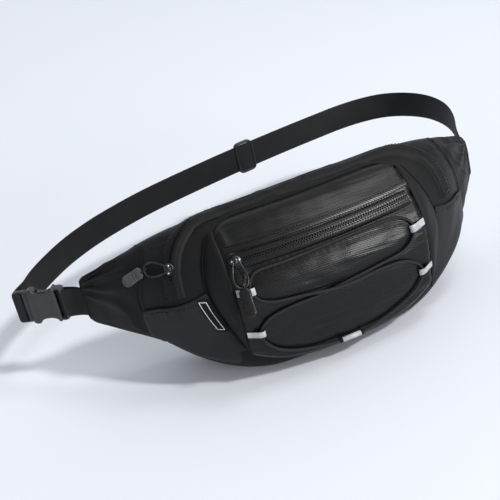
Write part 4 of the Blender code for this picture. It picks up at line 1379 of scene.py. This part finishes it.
def make_buckle_plug():
    """The plug's frame, with a slot that the belt folds through, and the tongue between the prongs."""
    shape = Shape()
    for a, half_a in ((21.0, 2.5), (29.3, 1.6)):
        rings = []
        for z in steps(24, -16.4, 16.4):
            end = 1 - 0.30 * (max(0.0, abs(z) - 14.6) / 1.8) ** 2
            outline = oval(half_a * end, 2.6 * end, 20, 0, 0.45)
            rings.append([buckle_place(a + s, t, z) for s, t in outline])
        shape.add_sweep(rings)
    for side in (-1, 1):
        outline = oval(0.8, 2.2, 14, 0, 0.5)
        rings = [[buckle_place(a, t, side * 15.7 + s) for s, t in outline] for a in steps(6, 19.5, 29.9)]
        shape.add_sweep(rings)
    outline = oval(2.6, 1.4, 14, 0, 0.4)
    shape.add_sweep([[buckle_place(a, t, s) for s, t in outline] for a in (-1, 19.5)])
    shape.build("plug_body", "plastic", ["buckle_plug"], "plug", 45)


def make_adjuster():
    """The slide on the belt: a rounded frame, with the webbing that passes over its middle bar."""
    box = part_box("belt_adjuster")
    middle = (Vector(box[0]) + Vector(box[1])) / 2 - ORIGIN
    cx, cy = BELT_ARC_CENTRE
    out = Vector((middle.x - cx, middle.y - cy, 0)).normalized()
    along = UP.cross(out)

    def place(s, z, t):
        return middle + (along * s + UP * z + out * t) * MM

    outline = []
    for turn in steps(56, 0.0, 2 * pi)[:-1]:
        s = copysign(10.4 * abs(cos(turn)) ** 0.38, cos(turn))
        outline.append(place(s, copysign(17.0 * abs(sin(turn)) ** 0.30, sin(turn)), 0))
    frames = along_path(outline, [out] * len(outline), closed=True)
    shape = Shape().add_sweep(swept(frames, oval(1.25, 2.9, 16, 0, 0.6)), closed=True)
    shape.build("adjuster_frame", "dark_plastic", ["belt_adjuster"], "adjuster", 45)

    def cover(lift):
        def spot(u, v):
            bulge = 1.0 + 1.5 * sin(pi * u) ** 0.5
            return place(9.6 * (2 * u - 1), 14.6 * (2 * v - 1), -(bulge + lift))

        return spot

    slab_shape(cover(-0.6), cover(0.6), 24, 12).build("adjuster_band", "webbing", body="adjuster")


def dress_prongs():
    """The CAD's own prongs show through the socket, in a darker plastic than the buckle's: painted shade
    inside the socket.
    """
    for node in ("buckle_prong_upper", "buckle_prong_lower"):
        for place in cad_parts[node].material_slots:
            place.material = LOOKS["dark_plastic"]


SIDES = ((-1, "left"), (1, "right"))

make_camera()
make_studio()
make_shell()
make_back_panel()
for side, hand in SIDES:
    make_wing("wing_" + hand, side)
for side, hand in SIDES:
    make_side_panel("side_panel_" + hand, side)
make_front_pocket()
for side, hand in SIDES:
    make_gusset("pocket_gusset_" + hand, side)
make_top_seam()
make_front_zip()
make_main_zip()
make_pulls()
make_lacing()
make_label()
make_belt()
make_left_webbing()
make_buckle_socket()
make_buckle_plug()
make_adjuster()
dress_prongs()
